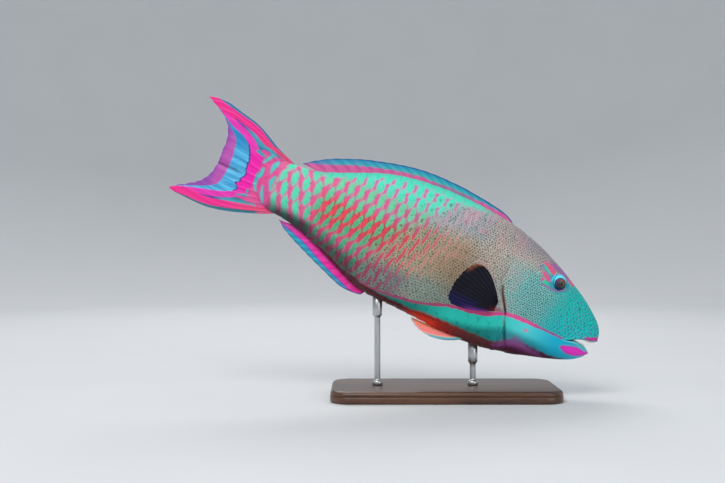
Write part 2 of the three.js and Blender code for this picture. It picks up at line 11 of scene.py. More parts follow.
import bpy
import numpy as np
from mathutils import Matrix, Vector


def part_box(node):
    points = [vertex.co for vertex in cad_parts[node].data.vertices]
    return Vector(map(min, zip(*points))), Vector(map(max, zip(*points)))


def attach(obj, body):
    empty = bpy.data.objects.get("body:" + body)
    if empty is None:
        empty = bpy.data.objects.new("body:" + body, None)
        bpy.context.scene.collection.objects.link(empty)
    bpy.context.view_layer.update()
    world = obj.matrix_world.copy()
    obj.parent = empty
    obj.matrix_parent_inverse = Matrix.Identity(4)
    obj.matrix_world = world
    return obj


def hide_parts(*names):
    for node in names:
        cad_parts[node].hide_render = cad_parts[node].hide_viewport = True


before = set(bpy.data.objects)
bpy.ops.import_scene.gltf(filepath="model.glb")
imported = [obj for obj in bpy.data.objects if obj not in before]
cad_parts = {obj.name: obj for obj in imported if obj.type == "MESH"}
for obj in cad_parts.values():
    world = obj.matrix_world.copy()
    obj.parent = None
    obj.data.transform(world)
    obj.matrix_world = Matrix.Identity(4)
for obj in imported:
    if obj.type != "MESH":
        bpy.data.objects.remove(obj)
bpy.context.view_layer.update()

MM = 0.001
PITCH = math.radians(24.2)
SNOUT_AHEAD = 204.0
SNOUT_HEIGHT = 78.0
BODY_LENGTH = 500.0
TOTAL_LENGTH = 606.0
SWING_START = 360.0
SWING_AT_TIPS = 14.0
LEFT, RIGHT = 1, -1
SIDES = {"left": LEFT, "right": RIGHT}

# The camera looks level along +Y, its axis through this point of the fish's middle plane.
CAMERA_AWAY = 1320.0
CAMERA_AXIS_S = 337.3
CAMERA_AXIS_Z = -11.3
VIEW_WIDTH = 961.35
SENSOR = 36.0


def profile(points):
    """A smooth curve through (s, value) pairs that never overshoots them."""
    xs, ys = np.array(points, float).T
    slopes = np.diff(ys) / np.diff(xs)
    tangents = np.empty_like(ys)
    tangents[0], tangents[-1] = slopes[0], slopes[-1]
    before, after = slopes[:-1], slopes[1:]
    same_way = before * after > 0
    total = np.where(same_way, before + after, 1)
    tangents[1:-1] = np.where(same_way, 2 * before * after / total, 0)

    def at(s):
        s = np.clip(np.asarray(s, float), xs[0], xs[-1])
        i = np.clip(np.searchsorted(xs, s, side="right") - 1, 0, len(xs) - 2)
        h = xs[i + 1] - xs[i]
        t = (s - xs[i]) / h
        return (
            ys[i] * (1 + 2 * t) * (1 - t) ** 2
            + tangents[i] * h * t * (1 - t) ** 2
            + ys[i + 1] * t * t * (3 - 2 * t)
            + tangents[i + 1] * h * t * t * (t - 1)
        )

    return at


def ease(value, low, high):
    """0 below low, 1 above high and smooth between; low may be the larger."""
    t = np.clip((value - low) / (high - low), 0, 1)
    return t * t * (3 - 2 * t)


def running(steps):
    """The sums of ever more steps, from 0."""
    return np.concatenate([[0], np.cumsum(steps)])


def swing(s):
    along = np.maximum(0, (s - SWING_START) / (TOTAL_LENGTH - SWING_START))
    return SWING_AT_TIPS * along**2


def place(points):
    """Takes (s, y, z) rows in millimetres to the part's frame in metres."""
    s, y, z = np.asarray(points, float).T
    ahead = SNOUT_AHEAD - s * math.cos(PITCH) + z * math.sin(PITCH)
    height = SNOUT_HEIGHT + s * math.sin(PITCH) + z * math.cos(PITCH)
    return np.stack([ahead, y + swing(s), height], -1) * MM


def seen_from_the_side(points):
    """Where the camera sees (s, y, z) rows in the fish's middle plane, the left side mirrored."""
    s, y, z = points.T
    scale = CAMERA_AWAY / (CAMERA_AWAY + swing(s) - np.abs(y))
    return np.stack(
        [
            CAMERA_AXIS_S + (s - CAMERA_AXIS_S) * scale,
            CAMERA_AXIS_Z + (z - CAMERA_AXIS_Z) * scale,
        ],
        -1,
    )


# The body without its fins, as in the solids: back and belly side on, half the width, the height
# where it is widest and how square its section is above and below that height.
back = profile([
    (0, 1.5), (2.5, 8), (5, 12.5), (10, 18.5), (20, 27), (40, 41), (60, 52), (80, 62.5),
    (100, 71.5), (120, 79.5), (150, 88.5), (180, 93.5), (210, 96.5), (250, 97.5), (290, 95),
    (320, 90.5), (350, 82), (380, 69.5), (400, 60.5), (420, 52.5), (440, 47), (455, 45.5),
    (470, 44.5), (482, 41), (492, 34), (498, 25), (BODY_LENGTH, 15),
])
belly = profile([
    (0, -5), (2, -14), (5, -24), (10, -31.5), (20, -39.5), (30, -44.5), (50, -52),
    (75, -59.5), (100, -66.5), (130, -73.5), (160, -77), (190, -77.5), (230, -75),
    (270, -73), (300, -72.5), (320, -69.5), (345, -60.5), (370, -50), (390, -42),
    (410, -35), (430, -29.5), (450, -26), (465, -25), (480, -21.5), (492, -14),
    (498, -5), (BODY_LENGTH, 5),
])
half_width = profile([
    (0, 0), (1.2, 5), (3, 8), (6, 11), (10, 13.5), (20, 17.5), (40, 23), (60, 27.5),
    (80, 31), (100, 34), (125, 37), (150, 38.5), (185, 39.5), (220, 38.5), (260, 36),
    (300, 32), (340, 27.5), (380, 22), (420, 17), (450, 13), (470, 9.6), (485, 6),
    (495, 3.2), (BODY_LENGTH, 2.2),
])
waist = profile([
    (0, -3), (10, -8), (25, -10), (60, -6), (100, -2), (150, 3), (220, 8), (350, 9),
    (BODY_LENGTH, 10),
])
upper_power = profile([(0, 2.2), (30, 2.3), (80, 2.5), (150, 2.3), (230, 2.1), (500, 2.2)])
lower_power = profile([(0, 2.2), (30, 2.4), (100, 2.5), (200, 2.6), (330, 2.3), (500, 2.2)])

# The body's surface as a table: stations along the fish, and equal shares of each half outline
# from the back, share 0, to the belly, share 1.
LATTICE_Z = 10.0
TABLE_S = np.concatenate([12 * np.linspace(0, 1, 30) ** 2, np.arange(13, BODY_LENGTH + 1, 1.0)])
SHARES = np.linspace(0, 1, 241)
SHARE_STEP = 0.006


def outline_table():
    angle = np.linspace(math.pi / 2, -math.pi / 2, 721)
    y_rows, z_rows, lengths, references = [], [], [], []
    for s in TABLE_S:
        power = np.where(angle > 0, upper_power(s), lower_power(s))
        reach = np.where(angle > 0, back(s) - waist(s), waist(s) - belly(s))
        y = half_width(s) * np.abs(np.cos(angle)) ** (2 / power)
        z = waist(s) + np.sign(angle) * reach * np.abs(np.sin(angle)) ** (2 / power)
        run = running(np.hypot(np.diff(y), np.diff(z)))
        y_rows.append(np.interp(SHARES * run[-1], run, y))
        z_rows.append(np.interp(SHARES * run[-1], run, z))
        lengths.append(run[-1])
        references.append(np.interp(-LATTICE_Z, -z, run))
    return np.array(y_rows), np.array(z_rows), np.array(lengths), np.array(references)


TABLE_Y, TABLE_Z, TABLE_LENGTH, TABLE_REFERENCE = outline_table()


def surface(s, share):
    """Points (s, y, z) of the left side at arrays of s and share."""
    s, share = np.broadcast_arrays(np.asarray(s, float), np.asarray(share, float))
    row = np.interp(s, TABLE_S, np.arange(len(TABLE_S)))
    column = np.clip(share, 0, 1) * (len(SHARES) - 1)
    i = np.minimum(row.astype(int), len(TABLE_S) - 2)
    j = np.minimum(column.astype(int), len(SHARES) - 2)
    a, b = row - i, column - j

    def look(table):
        near = table[i, j] * (1 - b) + table[i, j + 1] * b
        far = table[i + 1, j] * (1 - b) + table[i + 1, j + 1] * b
        return near * (1 - a) + far * a

    return np.stack([s, look(TABLE_Y), look(TABLE_Z)], -1)


def surface_normal(s, share):
    """Outward unit normals of the left side, as (s, y, z) rows."""
    s, share = np.broadcast_arrays(np.asarray(s, float), np.asarray(share, float))
    step = np.minimum(0.6, 0.2 + 0.05 * s)
    ahead, after = np.maximum(s - step, 0), np.minimum(s + step, BODY_LENGTH)
    over, under = np.maximum(share - SHARE_STEP, 0), np.minimum(share + SHARE_STEP, 1)
    along = surface(after, share) - surface(ahead, share)
    return unit(np.cross(along, surface(s, under) - surface(s, over)))


def girth(s, share):
    """The way round the body from the lattice's middle row, upward, in millimetres."""
    return np.interp(s, TABLE_S, TABLE_REFERENCE) - share * np.interp(s, TABLE_S, TABLE_LENGTH)


def share_at_girth(s, way):
    return (np.interp(s, TABLE_S, TABLE_REFERENCE) - way) / np.interp(s, TABLE_S, TABLE_LENGTH)


def share_at_height(s, z):
    """The share at which the outline at s passes height z."""
    found = [np.interp(-height, -surface(at, SHARES)[:, 2], SHARES) for at, height in zip(s, z)]
    return np.array(found)


# Meshes
def grid_faces(rows, columns, first=0):
    index = first + np.arange(rows * columns).reshape(rows, columns)
    corners = [index[:-1, :-1], index[:-1, 1:], index[1:, 1:], index[1:, :-1]]
    return np.stack(corners, -1).reshape(-1, 4)


def ring_faces(rings, points):
    """The indices of rings of points that close on themselves, and the faces between the rings."""
    index = np.arange(rings * points).reshape(rings, points)
    after = np.roll(index, -1, 1)
    return index, np.stack([index[:-1], after[:-1], after[1:], index[1:]], -1).reshape(-1, 4)


def rim_faces(index, count):
    """Faces round the rim of a grid, from its points to those that come count later."""
    rim = np.concatenate([index[0], index[1:, -1], index[-1, -2::-1], index[-2:0:-1, 0]])
    after = np.roll(rim, -1)
    return np.stack([rim, after, after + count, rim + count], -1)


def rows(s, y, z):
    return np.stack(np.broadcast_arrays(s, y, z), -1).astype(float)


def unit(vectors):
    return vectors / np.maximum(np.linalg.norm(vectors, axis=-1, keepdims=True), 1e-9)


def level_normal(path):
    """Level directions square to a path of (s, y, z) rows, on its left."""
    tangent = np.gradient(path, axis=0)
    return rows(-tangent[:, 1], tangent[:, 0], 0)


def welded(points, quads, tolerance=0.002):
    """Merges points that meet. Returns the kept points, quads, triangles and the kept points' indices."""
    key = np.round(points / tolerance).astype(np.int64)
    _, kept, to = np.unique(key, axis=0, return_index=True, return_inverse=True)
    quads = to.ravel()[quads]
    new = [quads[:, k] != quads[:, (k + 1) % 4] for k in range(4)]
    corners = sum(n.astype(int) for n in new)
    whole = quads[corners == 4]
    whole = whole[(whole[:, 0] != whole[:, 2]) & (whole[:, 1] != whole[:, 3])]
    three = quads[corners == 3]
    three_new = np.stack(new, -1)[corners == 3]
    triangles = np.array([q[n] for q, n in zip(three, three_new)], int).reshape(-1, 3)
    distinct = (triangles[:, 0] != triangles[:, 1]) & (triangles[:, 1] != triangles[:, 2])
    distinct &= triangles[:, 0] != triangles[:, 2]
    return points[kept], whole, triangles[distinct], kept


def build(name, points, faces, material, attributes=None, uv=None, in_world=False):
    """A smooth mesh object from rows of points, a list of face arrays and arrays for its points."""
    placed = points if in_world else place(points)
    mesh = bpy.data.meshes.new(name)
    mesh.vertices.add(len(placed))
    mesh.vertices.foreach_set("co", placed.astype(np.float32).ravel())
    faces = [f for f in faces if len(f)]
    corners = np.concatenate([f.ravel() for f in faces])
    sizes = np.concatenate([np.full(len(f), f.shape[1]) for f in faces])
    mesh.loops.add(len(corners))
    mesh.loops.foreach_set("vertex_index", corners.astype(np.int32))
    mesh.polygons.add(len(sizes))
    mesh.polygons.foreach_set("loop_start", running(sizes[:-1]).astype(np.int32))
    mesh.update(calc_edges=True)
    for key, values in (attributes or {}).items():
        kind = "FLOAT" if values.ndim == 1 else "FLOAT_VECTOR"
        field = "value" if values.ndim == 1 else "vector"
        layer = mesh.attributes.new(key, kind, "POINT")
        layer.data.foreach_set(field, values.astype(np.float32).ravel())
    if uv is not None:
        layer = mesh.uv_layers.new(name="OFBake")
        layer.data.foreach_set("uv", uv[corners].astype(np.float32).ravel())
    mesh.polygons.foreach_set("use_smooth", np.ones(len(sizes), bool))
    mesh.materials.append(material)
    mesh.validate()
    made = bpy.data.objects.new(name, mesh)
    bpy.context.scene.collection.objects.link(made)
    return made


# Brush strokes for markings
STROKE_REACH = 30.0
FAR_OFF = 1000.0


def curved(path, steps=5):
    """A path of (s, z, half width) rows, made smooth."""
    path = np.array(path, float)
    ends = np.vstack([2 * path[0] - path[1], path, 2 * path[-1] - path[-2]])
    t = np.linspace(0, 1, steps, endpoint=False)[:, None]
    made = []
    for a, b, c, d in zip(ends[:-3], ends[1:-2], ends[2:-1], ends[3:]):
        square, cube = 2 * a - 5 * b + 4 * c - d, 3 * b - a - 3 * c + d
        made.append(0.5 * (2 * b + (c - a) * t + square * t**2 + cube * t**3))
    return np.vstack(made + [path[-1:]])


def stroke(points, path):
    """How far (s, z) rows lie outside a brush stroke along path, in millimetres; inside is below 0."""
    path = curved(path)
    nearest = np.full(len(points), FAR_OFF)
    low, high = path[:, :2].min(0) - STROKE_REACH, path[:, :2].max(0) + STROKE_REACH
    near = np.all((points > low) & (points < high), axis=1)
    inside = points[near]
    best = nearest[near]
    for a, b in zip(path[:-1], path[1:]):
        along = b[:2] - a[:2]
        t = np.clip((inside - a[:2]) @ along / max(along @ along, 1e-9), 0, 1)
        away = np.linalg.norm(inside - a[:2] - t[:, None] * along, axis=1)
        best = np.minimum(best, away - (a[2] + t * (b[2] - a[2])))
    nearest[near] = best
    return nearest


def strokes(points, paths):
    return np.minimum.reduce([stroke(points, path) for path in paths])


def stroke_rows(points, *groups):
    """How far (s, z) rows lie outside each of three groups of brush strokes, as rows of three."""
    return np.stack([strokes(points, paths) for paths in groups], -1)


# Materials
def linear(colour):
    """A colour in sRGB steps of 0 to 255, as the shader's linear numbers."""
    shares = [step / 255 for step in colour]
    return [c / 12.92 if c <= 0.04045 else ((c + 0.055) / 1.055) ** 2.4 for c in shares] + [1.0]


class Value:
    """A number, vector or colour that flows through a material, with arithmetic on it."""

    def __init__(self, paint, socket):
        self.paint, self.socket = paint, socket

    def __rsub__(self, other):
        return self.paint.math("SUBTRACT", other, self)

    def size(self):
        return self.paint.math("ABSOLUTE", self)

    def off_centre(self):
        """How far a number is from the nearest whole one, from -0.5 to 0.5."""
        return self.paint.math("SUBTRACT", self, self.paint.math("ROUND", self))

    def eased(self, low, high):
        """0 at low, 1 at high and smooth between; low may be the larger."""
        if low > high:
            return 1 - self.eased(high, low)
        node = self.paint.node("ShaderNodeMapRange", interpolation_type="SMOOTHSTEP")
        self.paint.feed(node.inputs["Value"], self)
        node.inputs["From Min"].default_value = low
        node.inputs["From Max"].default_value = high
        return Value(self.paint, node.outputs["Result"])


def with_other(operation):
    """A method that works out one of Blender's math operations on a Value and what it is given."""
    return lambda self, other: self.paint.math(operation, self, other)


OPERATIONS = {
    "__add__": "ADD", "__sub__": "SUBTRACT", "__mul__": "MULTIPLY", "__truediv__": "DIVIDE",
    "__pow__": "POWER", "least": "MINIMUM", "most": "MAXIMUM",
}
for method, operation in OPERATIONS.items():
    setattr(Value, method, with_other(operation))


class Paint:
    """A procedural material: one Principled shader fed by Values, with colours as (red, green, blue)."""

    def __init__(self, name, **finish):
        self.material = bpy.data.materials.new(name)
        self.material.use_nodes = True
        self.tree = self.material.node_tree
        self.shader = self.tree.nodes["Principled BSDF"]
        for socket, value in finish.items():
            self.shader.inputs[socket.replace("_", " ")].default_value = value

    def node(self, kind, **settings):
        made = self.tree.nodes.new(kind)
        for key, value in settings.items():
            setattr(made, key, value)
        return made

    def feed(self, socket, value):
        if isinstance(value, Value):
            self.tree.links.new(value.socket, socket)
        elif isinstance(value, tuple):
            socket.default_value = linear(value)
        else:
            socket.default_value = value

    def math(self, operation, *values):
        made = self.node("ShaderNodeMath", operation=operation)
        for socket, value in zip(made.inputs, values):
            self.feed(socket, value)
        return Value(self, made.outputs[0])

    def attribute(self, name, output="Vector"):
        made = self.node("ShaderNodeAttribute", attribute_name=name)
        return Value(self, made.outputs[output])

    def number(self, name):
        return self.attribute(name, "Fac")

    def three(self, name):
        """The three numbers of an array of rows of three."""
        return self.parts(self.attribute(name))

    def parts(self, vector):
        made = self.node("ShaderNodeSeparateXYZ")
        self.feed(made.inputs[0], vector)
        return [Value(self, out) for out in made.outputs]

    def vector(self, x, y, z=0.0):
        made = self.node("ShaderNodeCombineXYZ")
        for socket, value in zip(made.inputs, (x, y, z)):
            self.feed(socket, value)
        return Value(self, made.outputs[0])

    def noise(self, vector, scale, detail, roughness=0.5):
        made = self.node("ShaderNodeTexNoise")
        self.feed(made.inputs["Vector"], vector)
        made.inputs["Scale"].default_value = scale
        made.inputs["Detail"].default_value = detail
        made.inputs["Roughness"].default_value = roughness
        return Value(self, made.outputs["Fac"])

    def mix(self, factor, first, second):
        """first where factor is 0, second where it is 1."""
        made = self.node("ShaderNodeMix", data_type="RGBA")
        self.feed(made.inputs["Factor"], factor)
        self.feed(made.inputs[6], first)
        self.feed(made.inputs[7], second)
        return Value(self, made.outputs[2])

    def coats(self, colour, *coats):
        """colour under coats of (factor, colour), each over those before it."""
        for factor, coat in coats:
            colour = self.mix(factor, colour, coat)
        return colour

    def bump(self, height, distance, strength):
        made = self.node("ShaderNodeBump")
        self.feed(made.inputs["Height"], height)
        made.inputs["Distance"].default_value = distance
        made.inputs["Strength"].default_value = strength
        self.tree.links.new(made.outputs[0], self.shader.inputs["Normal"])

    def finish(self, colour, roughness=None):
        self.feed(self.shader.inputs["Base Color"], colour)
        if roughness is not None:
            self.feed(self.shader.inputs["Roughness"], roughness)
        return self.material


# Lines on the head, as in the solids: (s, z) from the top down
GILL_EDGE = [
    (140, 72), (146, 48), (151, 31), (152.5, 17), (149, 9.5), (146, 2.5), (141, -5), (136, -12),
    (132, -18), (130, -22), (127.5, -30), (123, -39.5), (118.5, -47.5), (114, -54.5), (109, -60),
]
UPPER_LIP = profile([
    (0, -5), (5, -6.6), (10.5, -8), (18, -8.8), (25.5, -11.2), (31, -13.7), (37.5, -17.1),
    (43.4, -20.5),
])
LOWER_LIP = profile([
    (4, -23.6), (8, -22.3), (12.5, -20.2), (18, -17.8), (23.5, -17.1), (29, -17), (34, -18),
    (40.5, -20), (43.4, -20.5),
])
MOUTH_CORNER = 43.4
JAW_TIP = 4.9
GILL_STATION = 140.0
GILL_FLARE = 2.4
GILL_DROP = 1.4
COAT_DEPTH = 0.7
EYE_S, EYE_Z, EYE_RADIUS, EYE_SUNK = 82.0, 45.0, 10.5, 6.2
# Each nostril's middle (s, z) and radius
NOSTRILS = [(67, 43.5, 1.5), (61.5, 41, 1.1)]
SOCKET_DEPTH = 6.0
SOCKET_RADII = (9.6, 8.2)
RIM_RISE, RIM_RADIUS, RIM_WIDTH = 0.9, 10.4, 1.2
PIT_DEPTH, PIT_RIM, PIT_RIM_WIDTH = 1.4, 0.35, 0.8
LIP_RISE, LIP_HALF, LIP_WIDTH = 0.9, 1.7, 1.6
GILL_REACH = (62.0, 232.0)
TUCK = 1.3


def spread(start, end, spacing):
    """Places from start to end, as close together as spacing says."""
    fine = np.linspace(start, end, 4000)
    run = running(np.diff(fine) / spacing(fine[1:]))
    count = int(math.ceil(run[-1]))
    return np.interp(np.linspace(0, run[-1], count + 1), run, fine)


station_spacing = profile([
    (0, 0.15), (2, 0.45), (8, 0.9), (60, 1.0), (68, 0.75), (96, 0.75), (104, 1.0), (134, 1.0),
    (138.5, 0.3), (141.5, 0.3), (146, 1.2), (165, 2.4), (500, 3.0),
])
upper_row_spacing = profile([
    (0, 0.012), (0.2, 0.0105), (0.3, 0.008), (0.45, 0.008), (0.6, 0.012), (0.9, 0.011), (1, 0.006),
])
lower_row_spacing = profile([(0, 0.012), (0.15, 0.02), (1, 0.022)])


def gill_shift():
    s, z = np.array(GILL_EDGE, float).T
    share = share_at_height(s, z)
    ends = [(0.0, -4.0)] + list(zip(share, s - GILL_STATION)) + [(1.0, 105 - GILL_STATION)]
    return profile(ends)


shift_at = gill_shift()


def skin_y(s, z):
    """Half the body's width at height z."""
    above = z > waist(s)
    reach = np.where(above, back(s) - waist(s), waist(s) - belly(s))
    power = np.where(above, upper_power(s), lower_power(s))
    t = np.clip(np.abs(z - waist(s)) / np.maximum(reach, 1e-6), 0, 1)
    return half_width(s) * (1 - t**power) ** (1 / power)


EYE_CENTRE = np.array([EYE_S, float(skin_y(EYE_S, EYE_Z)) - EYE_SUNK, EYE_Z])
EYE_AXIS = np.array([-0.17, 1.0, -0.08]) / math.hypot(0.17, 1.0, 0.08)


def eye_distance(points):
    """How far points of the left side are from the line that the eye looks along."""
    offset = points - EYE_CENTRE
    return np.linalg.norm(offset - np.outer(offset @ EYE_AXIS, EYE_AXIS), axis=1)


def hump(away, width):
    """1 at 0, and nearly 0 from twice the width on."""
    return np.exp(-((away / width) ** 2))


def under_cover(z):
    """1 at the heights of the gill cover, smooth to 0 above and below them."""
    return ease(z, -74, -52) * ease(z, 52, 22)


def relief(station, points):
    """How far the skin stands out from the plain body, in millimetres."""
    s, y, z = points.T
    behind = station - GILL_STATION
    flare = GILL_FLARE * ease(behind, -40, -2) * under_cover(z) * (behind <= 0.01)
    groove = -GILL_DROP * ease(behind, 0, 0.5) * ease(behind, 4.5, 1.2) * under_cover(z)
    bed = -COAT_DEPTH * ease(behind, 0.2, 6)
    eye = eye_distance(points)
    socket = -SOCKET_DEPTH * ease(eye, *SOCKET_RADII) * (y > 0)
    rim = RIM_RISE * hump(eye - RIM_RADIUS, RIM_WIDTH)
    pits = 0
    for pit_s, pit_z, radius in NOSTRILS:
        away = np.hypot(s - pit_s, z - pit_z)
        pits = pits - PIT_DEPTH * hump(away, radius) + PIT_RIM * hump(away - 1.5 * radius, PIT_RIM_WIDTH)
    return flare + groove + bed + socket + rim + pits


def lip_relief(points, line, way):
    """The roll of a lip along its edge, way 1 for the upper and -1 for the lower one."""
    s, _, z = points.T
    away = way * (z - line(s)) - LIP_HALF
    fade = ease(s, MOUTH_CORNER + 5, MOUTH_CORNER - 8)
    return LIP_RISE * hump(away, LIP_WIDTH) * fade


def sheet(stations, shares, line, way):
    """Half of the skin above or below the mouth, as a grid of points with a row for each station."""
    shape = shares.shape
    station = np.repeat(stations[:, None], shape[1], axis=1).ravel()
    share = shares.ravel()
    nearness = ease(station, np.where(station < GILL_STATION, *GILL_REACH), GILL_STATION)
    s = station + shift_at(share) * nearness
    behind = station - GILL_STATION
    covered = under_cover(surface(s, share)[:, 2])
    tucked = s - TUCK * ease(behind, 0, 0.35) * ease(behind, 1.6, 0.7) * covered
    plain = surface(tucked, share)
    normal = surface_normal(tucked, share)
    out = relief(station, plain) + lip_relief(plain, line, way)
    points = plain + normal * out[:, None]
    points[:, 1] = np.where((share <= 0) | (share >= 1), 0, np.maximum(points[:, 1], 0))
    return points, np.stack([s, share, np.zeros_like(s)], -1), shape


# How a lip turns in and its lining runs back: (outward, upward) from the lip's edge
LIP_TURN = [(-0.5, -0.45), (-1.3, -0.55), (-2.2, -0.1), (-2.6, 1.0), (-2.9, 2.6), (-4.2, 5.0)]
ROOF_COLUMNS = 8
ROOF_RISE = 3.0
LINING_TAPER = 12.0
JAW_STATIONS = 44
# How much painted shade darkens the turn of each lip
LIP_INNER_SHADE = 0.3


def lining(stations, edge, way):
    """The inner side of a lip and the roof or floor of the mouth, from the lip's edge inward."""
    normal = level_normal(edge)
    normal[0] = (-1, 0, 0)
    normal = unit(normal)
    shrink = np.clip((MOUTH_CORNER - stations) / LINING_TAPER, 0, 1)[:, None] ** 0.8
    columns = [edge]
    for out, up in LIP_TURN:
        moved = edge + normal * out * shrink
        moved[:, 2] += way * up * shrink[:, 0]
        moved[:, 1] = np.maximum(moved[:, 1], 0)
        columns.append(moved)
    last = columns[-1]
    for k in range(1, ROOF_COLUMNS + 1):
        share = k / ROOF_COLUMNS
        inner = last.copy()
        inner[:, 1] = last[:, 1] * (1 - share)
        inner[:, 2] += way * ROOF_RISE * math.sin(share * math.pi / 2) * shrink[:, 0]
        columns.append(inner)
    return np.stack(columns, 1)


def make_skin():
    """The whole skin: both sheets of both sides, welded, with the lips and the mouth's lining."""
    front = spread(0, MOUTH_CORNER, station_spacing)
    middle = spread(MOUTH_CORNER, GILL_STATION, station_spacing)
    rear = spread(GILL_STATION, BODY_LENGTH, station_spacing)
    behind_mouth = np.concatenate([middle, rear[1:]])
    corner_share = share_at_height([MOUTH_CORNER], [UPPER_LIP(MOUTH_CORNER)])[0]
    join = profile([(MOUTH_CORNER, corner_share), (100, 0.62), (250, 0.6), (BODY_LENGTH, 0.6)])
    upper_rows = spread(0, 1, upper_row_spacing)
    lower_rows = spread(0, 1, lower_row_spacing)
    points, quads, coords, inside = [], [], [], []

    def add(grid, where, within):
        first = sum(len(p) for p in points)
        rows, columns = grid.shape[:2]
        points.append(grid.reshape(-1, 3))
        coords.append(where)
        inside.append(np.full(rows * columns, within))
        return grid_faces(rows, columns, first)

    stations = np.concatenate([front, behind_mouth[1:]])
    lip = share_at_height(stations, UPPER_LIP(stations))
    limit = np.where(stations < MOUTH_CORNER, lip, join(stations))
    grid, where, shape = sheet(stations, upper_rows[None, :] * limit[:, None], UPPER_LIP, 1)
    upper = grid.reshape(*shape, 3)
    quads.append(add(upper, where, 0.0))

    jaw_front = JAW_TIP + (MOUTH_CORNER - JAW_TIP) * np.linspace(0, 1, JAW_STATIONS) ** 1.6
    jaw = np.concatenate([jaw_front, behind_mouth[1:]])
    start = np.where(jaw < MOUTH_CORNER, share_at_height(jaw, LOWER_LIP(jaw)), join(jaw))
    start[0] = 1.0
    shares = start[:, None] + lower_rows[None, :] * (1 - start[:, None])
    grid, where, shape = sheet(jaw, shares, LOWER_LIP, -1)
    lower = grid.reshape(*shape, 3)
    quads.append(add(lower, where, 0.0))

    upper_edge, lower_edge = upper[: len(front), -1], lower[:JAW_STATIONS, 0]
    for line_stations, edge, way in ((front, upper_edge, 1), (jaw_front, lower_edge, -1)):
        made = lining(line_stations, edge, way)
        where = rows(np.repeat(line_stations, made.shape[1]), 0.5, 0)
        faces = add(made, where, 1.0)
        quads.append(faces if way == 1 else faces[:, ::-1])
        # Painted shade inside the mouth: none on the lip's edge, some on its turn, full on the lining
        shades = inside[-1].reshape(made.shape[:2])
        shades[:, 0] = 0.0
        shades[:, 1] = LIP_INNER_SHADE

    half_points, half_quads = np.vstack(points), np.vstack(quads)
    half_coords, half_mouth_shade = np.vstack(coords), np.concatenate(inside)
    count = len(half_points)
    mirrored = half_points * (1, -1, 1)
    both = np.vstack([half_points, mirrored])
    faces = np.vstack([half_quads, half_quads[:, ::-1] + count])
    tail = np.arange(len(stations) * len(upper_rows)).reshape(len(stations), -1)[-1]
    low_tail = tail[-1] + 1 + np.arange(len(jaw) * len(lower_rows)).reshape(len(jaw), -1)[-1]
    for ring in (tail, low_tail):
        across = np.stack([ring[:-1], ring[1:], ring[1:] + count, ring[:-1] + count], -1)
        faces = np.vstack([faces, across])
    kept_points, whole, triangles, kept = welded(both, faces)
    side = np.repeat([1.0, -1.0], count)[kept]
    where = np.vstack([half_coords, half_coords])[kept]
    within = np.tile(half_mouth_shade, 2)[kept]
    return kept_points, [whole, triangles], where, side, within


# Markings, side on: brush strokes as (s, z, half width) and edges as (s, z)
PINK_STRIPE = [
    (42, -20.2, 0.8), (55, -19.6, 1.3), (75, -19.4, 1.8), (95, -19, 2.4), (111, -19.2, 2.7),
    (122, -20.8, 2.5), (128, -22.8, 2.0), (135, -25.6, 2.3), (140, -28, 2.8), (150, -31.8, 3.1),
    (160, -34.9, 2.9), (170, -37.2, 2.6), (180, -38.6, 2.3), (190, -40.8, 1.8), (200, -42.8, 1.9),
    (215, -48, 2.0), (230, -53, 1.7), (245, -57, 1.8), (260, -59, 1.6), (275, -61, 1.8),
    (290, -62, 1.5), (305, -62.5, 1.4), (320, -60, 1.0),
]
STRIPE_LINE = profile([(row[0], row[1]) for row in PINK_STRIPE] + [(345, -54), (380, -42), (500, -22)])
BAND_FOOT = profile([
    (0, -38), (20, -42.5), (45, -46.5), (60, -48), (78, -48), (92, -47), (102, -49), (112, -55),
    (124, -61), (150, -62.5), (200, -63), (225, -64.5), (250, -66), (285, -65), (310, -62),
    (345, -54), (380, -42), (500, -22),
])
EYE_PINK = [
    [(107, 63, 0.4), (102, 62, 1.8), (96, 59.5, 3.0), (91, 56, 3.2), (87, 53.5, 1.6)],
    [(104, 50.5, 1.2), (100, 49, 2.2), (95, 46, 2.4), (90, 42.5, 1.6)],
    [(99, 41.3, 1.7), (98.5, 41, 1.7)],
    [(67, 53.5, 0.8), (63, 51.5, 1.5), (59, 50, 1.0)],
]
EYE_MAUVE = [
    [(97, 66, 1.2), (88, 62.5, 3.0), (80, 59.8, 3.4), (72, 56.5, 3.0), (65, 53.5, 2.4),
     (58, 50.0, 1.4)],
    [(98, 34.8, 0.6), (92, 34.4, 1.2), (84, 33.8, 1.1), (76, 34.4, 1.2), (70, 37.5, 0.8),
     (67, 41, 1.4)],
    [(109, 56, 1.2), (107, 55, 1.6)],
    [(104, 57.5, 0.4), (99, 52.5, 0.9), (93, 49.5, 0.9), (89, 44, 0.8)],
]
EYE_TEAL = [
    [(106, 57.5, 1.2), (101, 55.5, 3.0), (95, 52, 3.6), (88, 46, 7.0), (80, 44, 10.5), (72, 44, 9.5)],
]
# The eye's pale ring carried onto the skin, partly its own colour and partly painted highlight
EYE_RING_AND_HIGHLIGHT = [
    [(86.6, 43.5, 0.3), (86.8, 47, 0.9), (85.4, 50.6, 1.1), (82.4, 53.6, 0.9), (78.5, 55.0, 0.5),
     (75, 55.2, 0.2)],
]
EYE_GREEN = [
    [(104, 57.5, 0.8), (101, 56.5, 1.8), (96, 53.5, 1.8), (92, 51, 1.0)],
    [(95, 39, 1.5), (91, 38, 1.8)],
]
UPPER_LIP_PINK = [
    [(-2, -1.8, 2.4), (3, -3.3, 2.6), (8, -5.4, 2.2), (14, -6.6, 1.2), (17, -7.2, 0.5)],
]
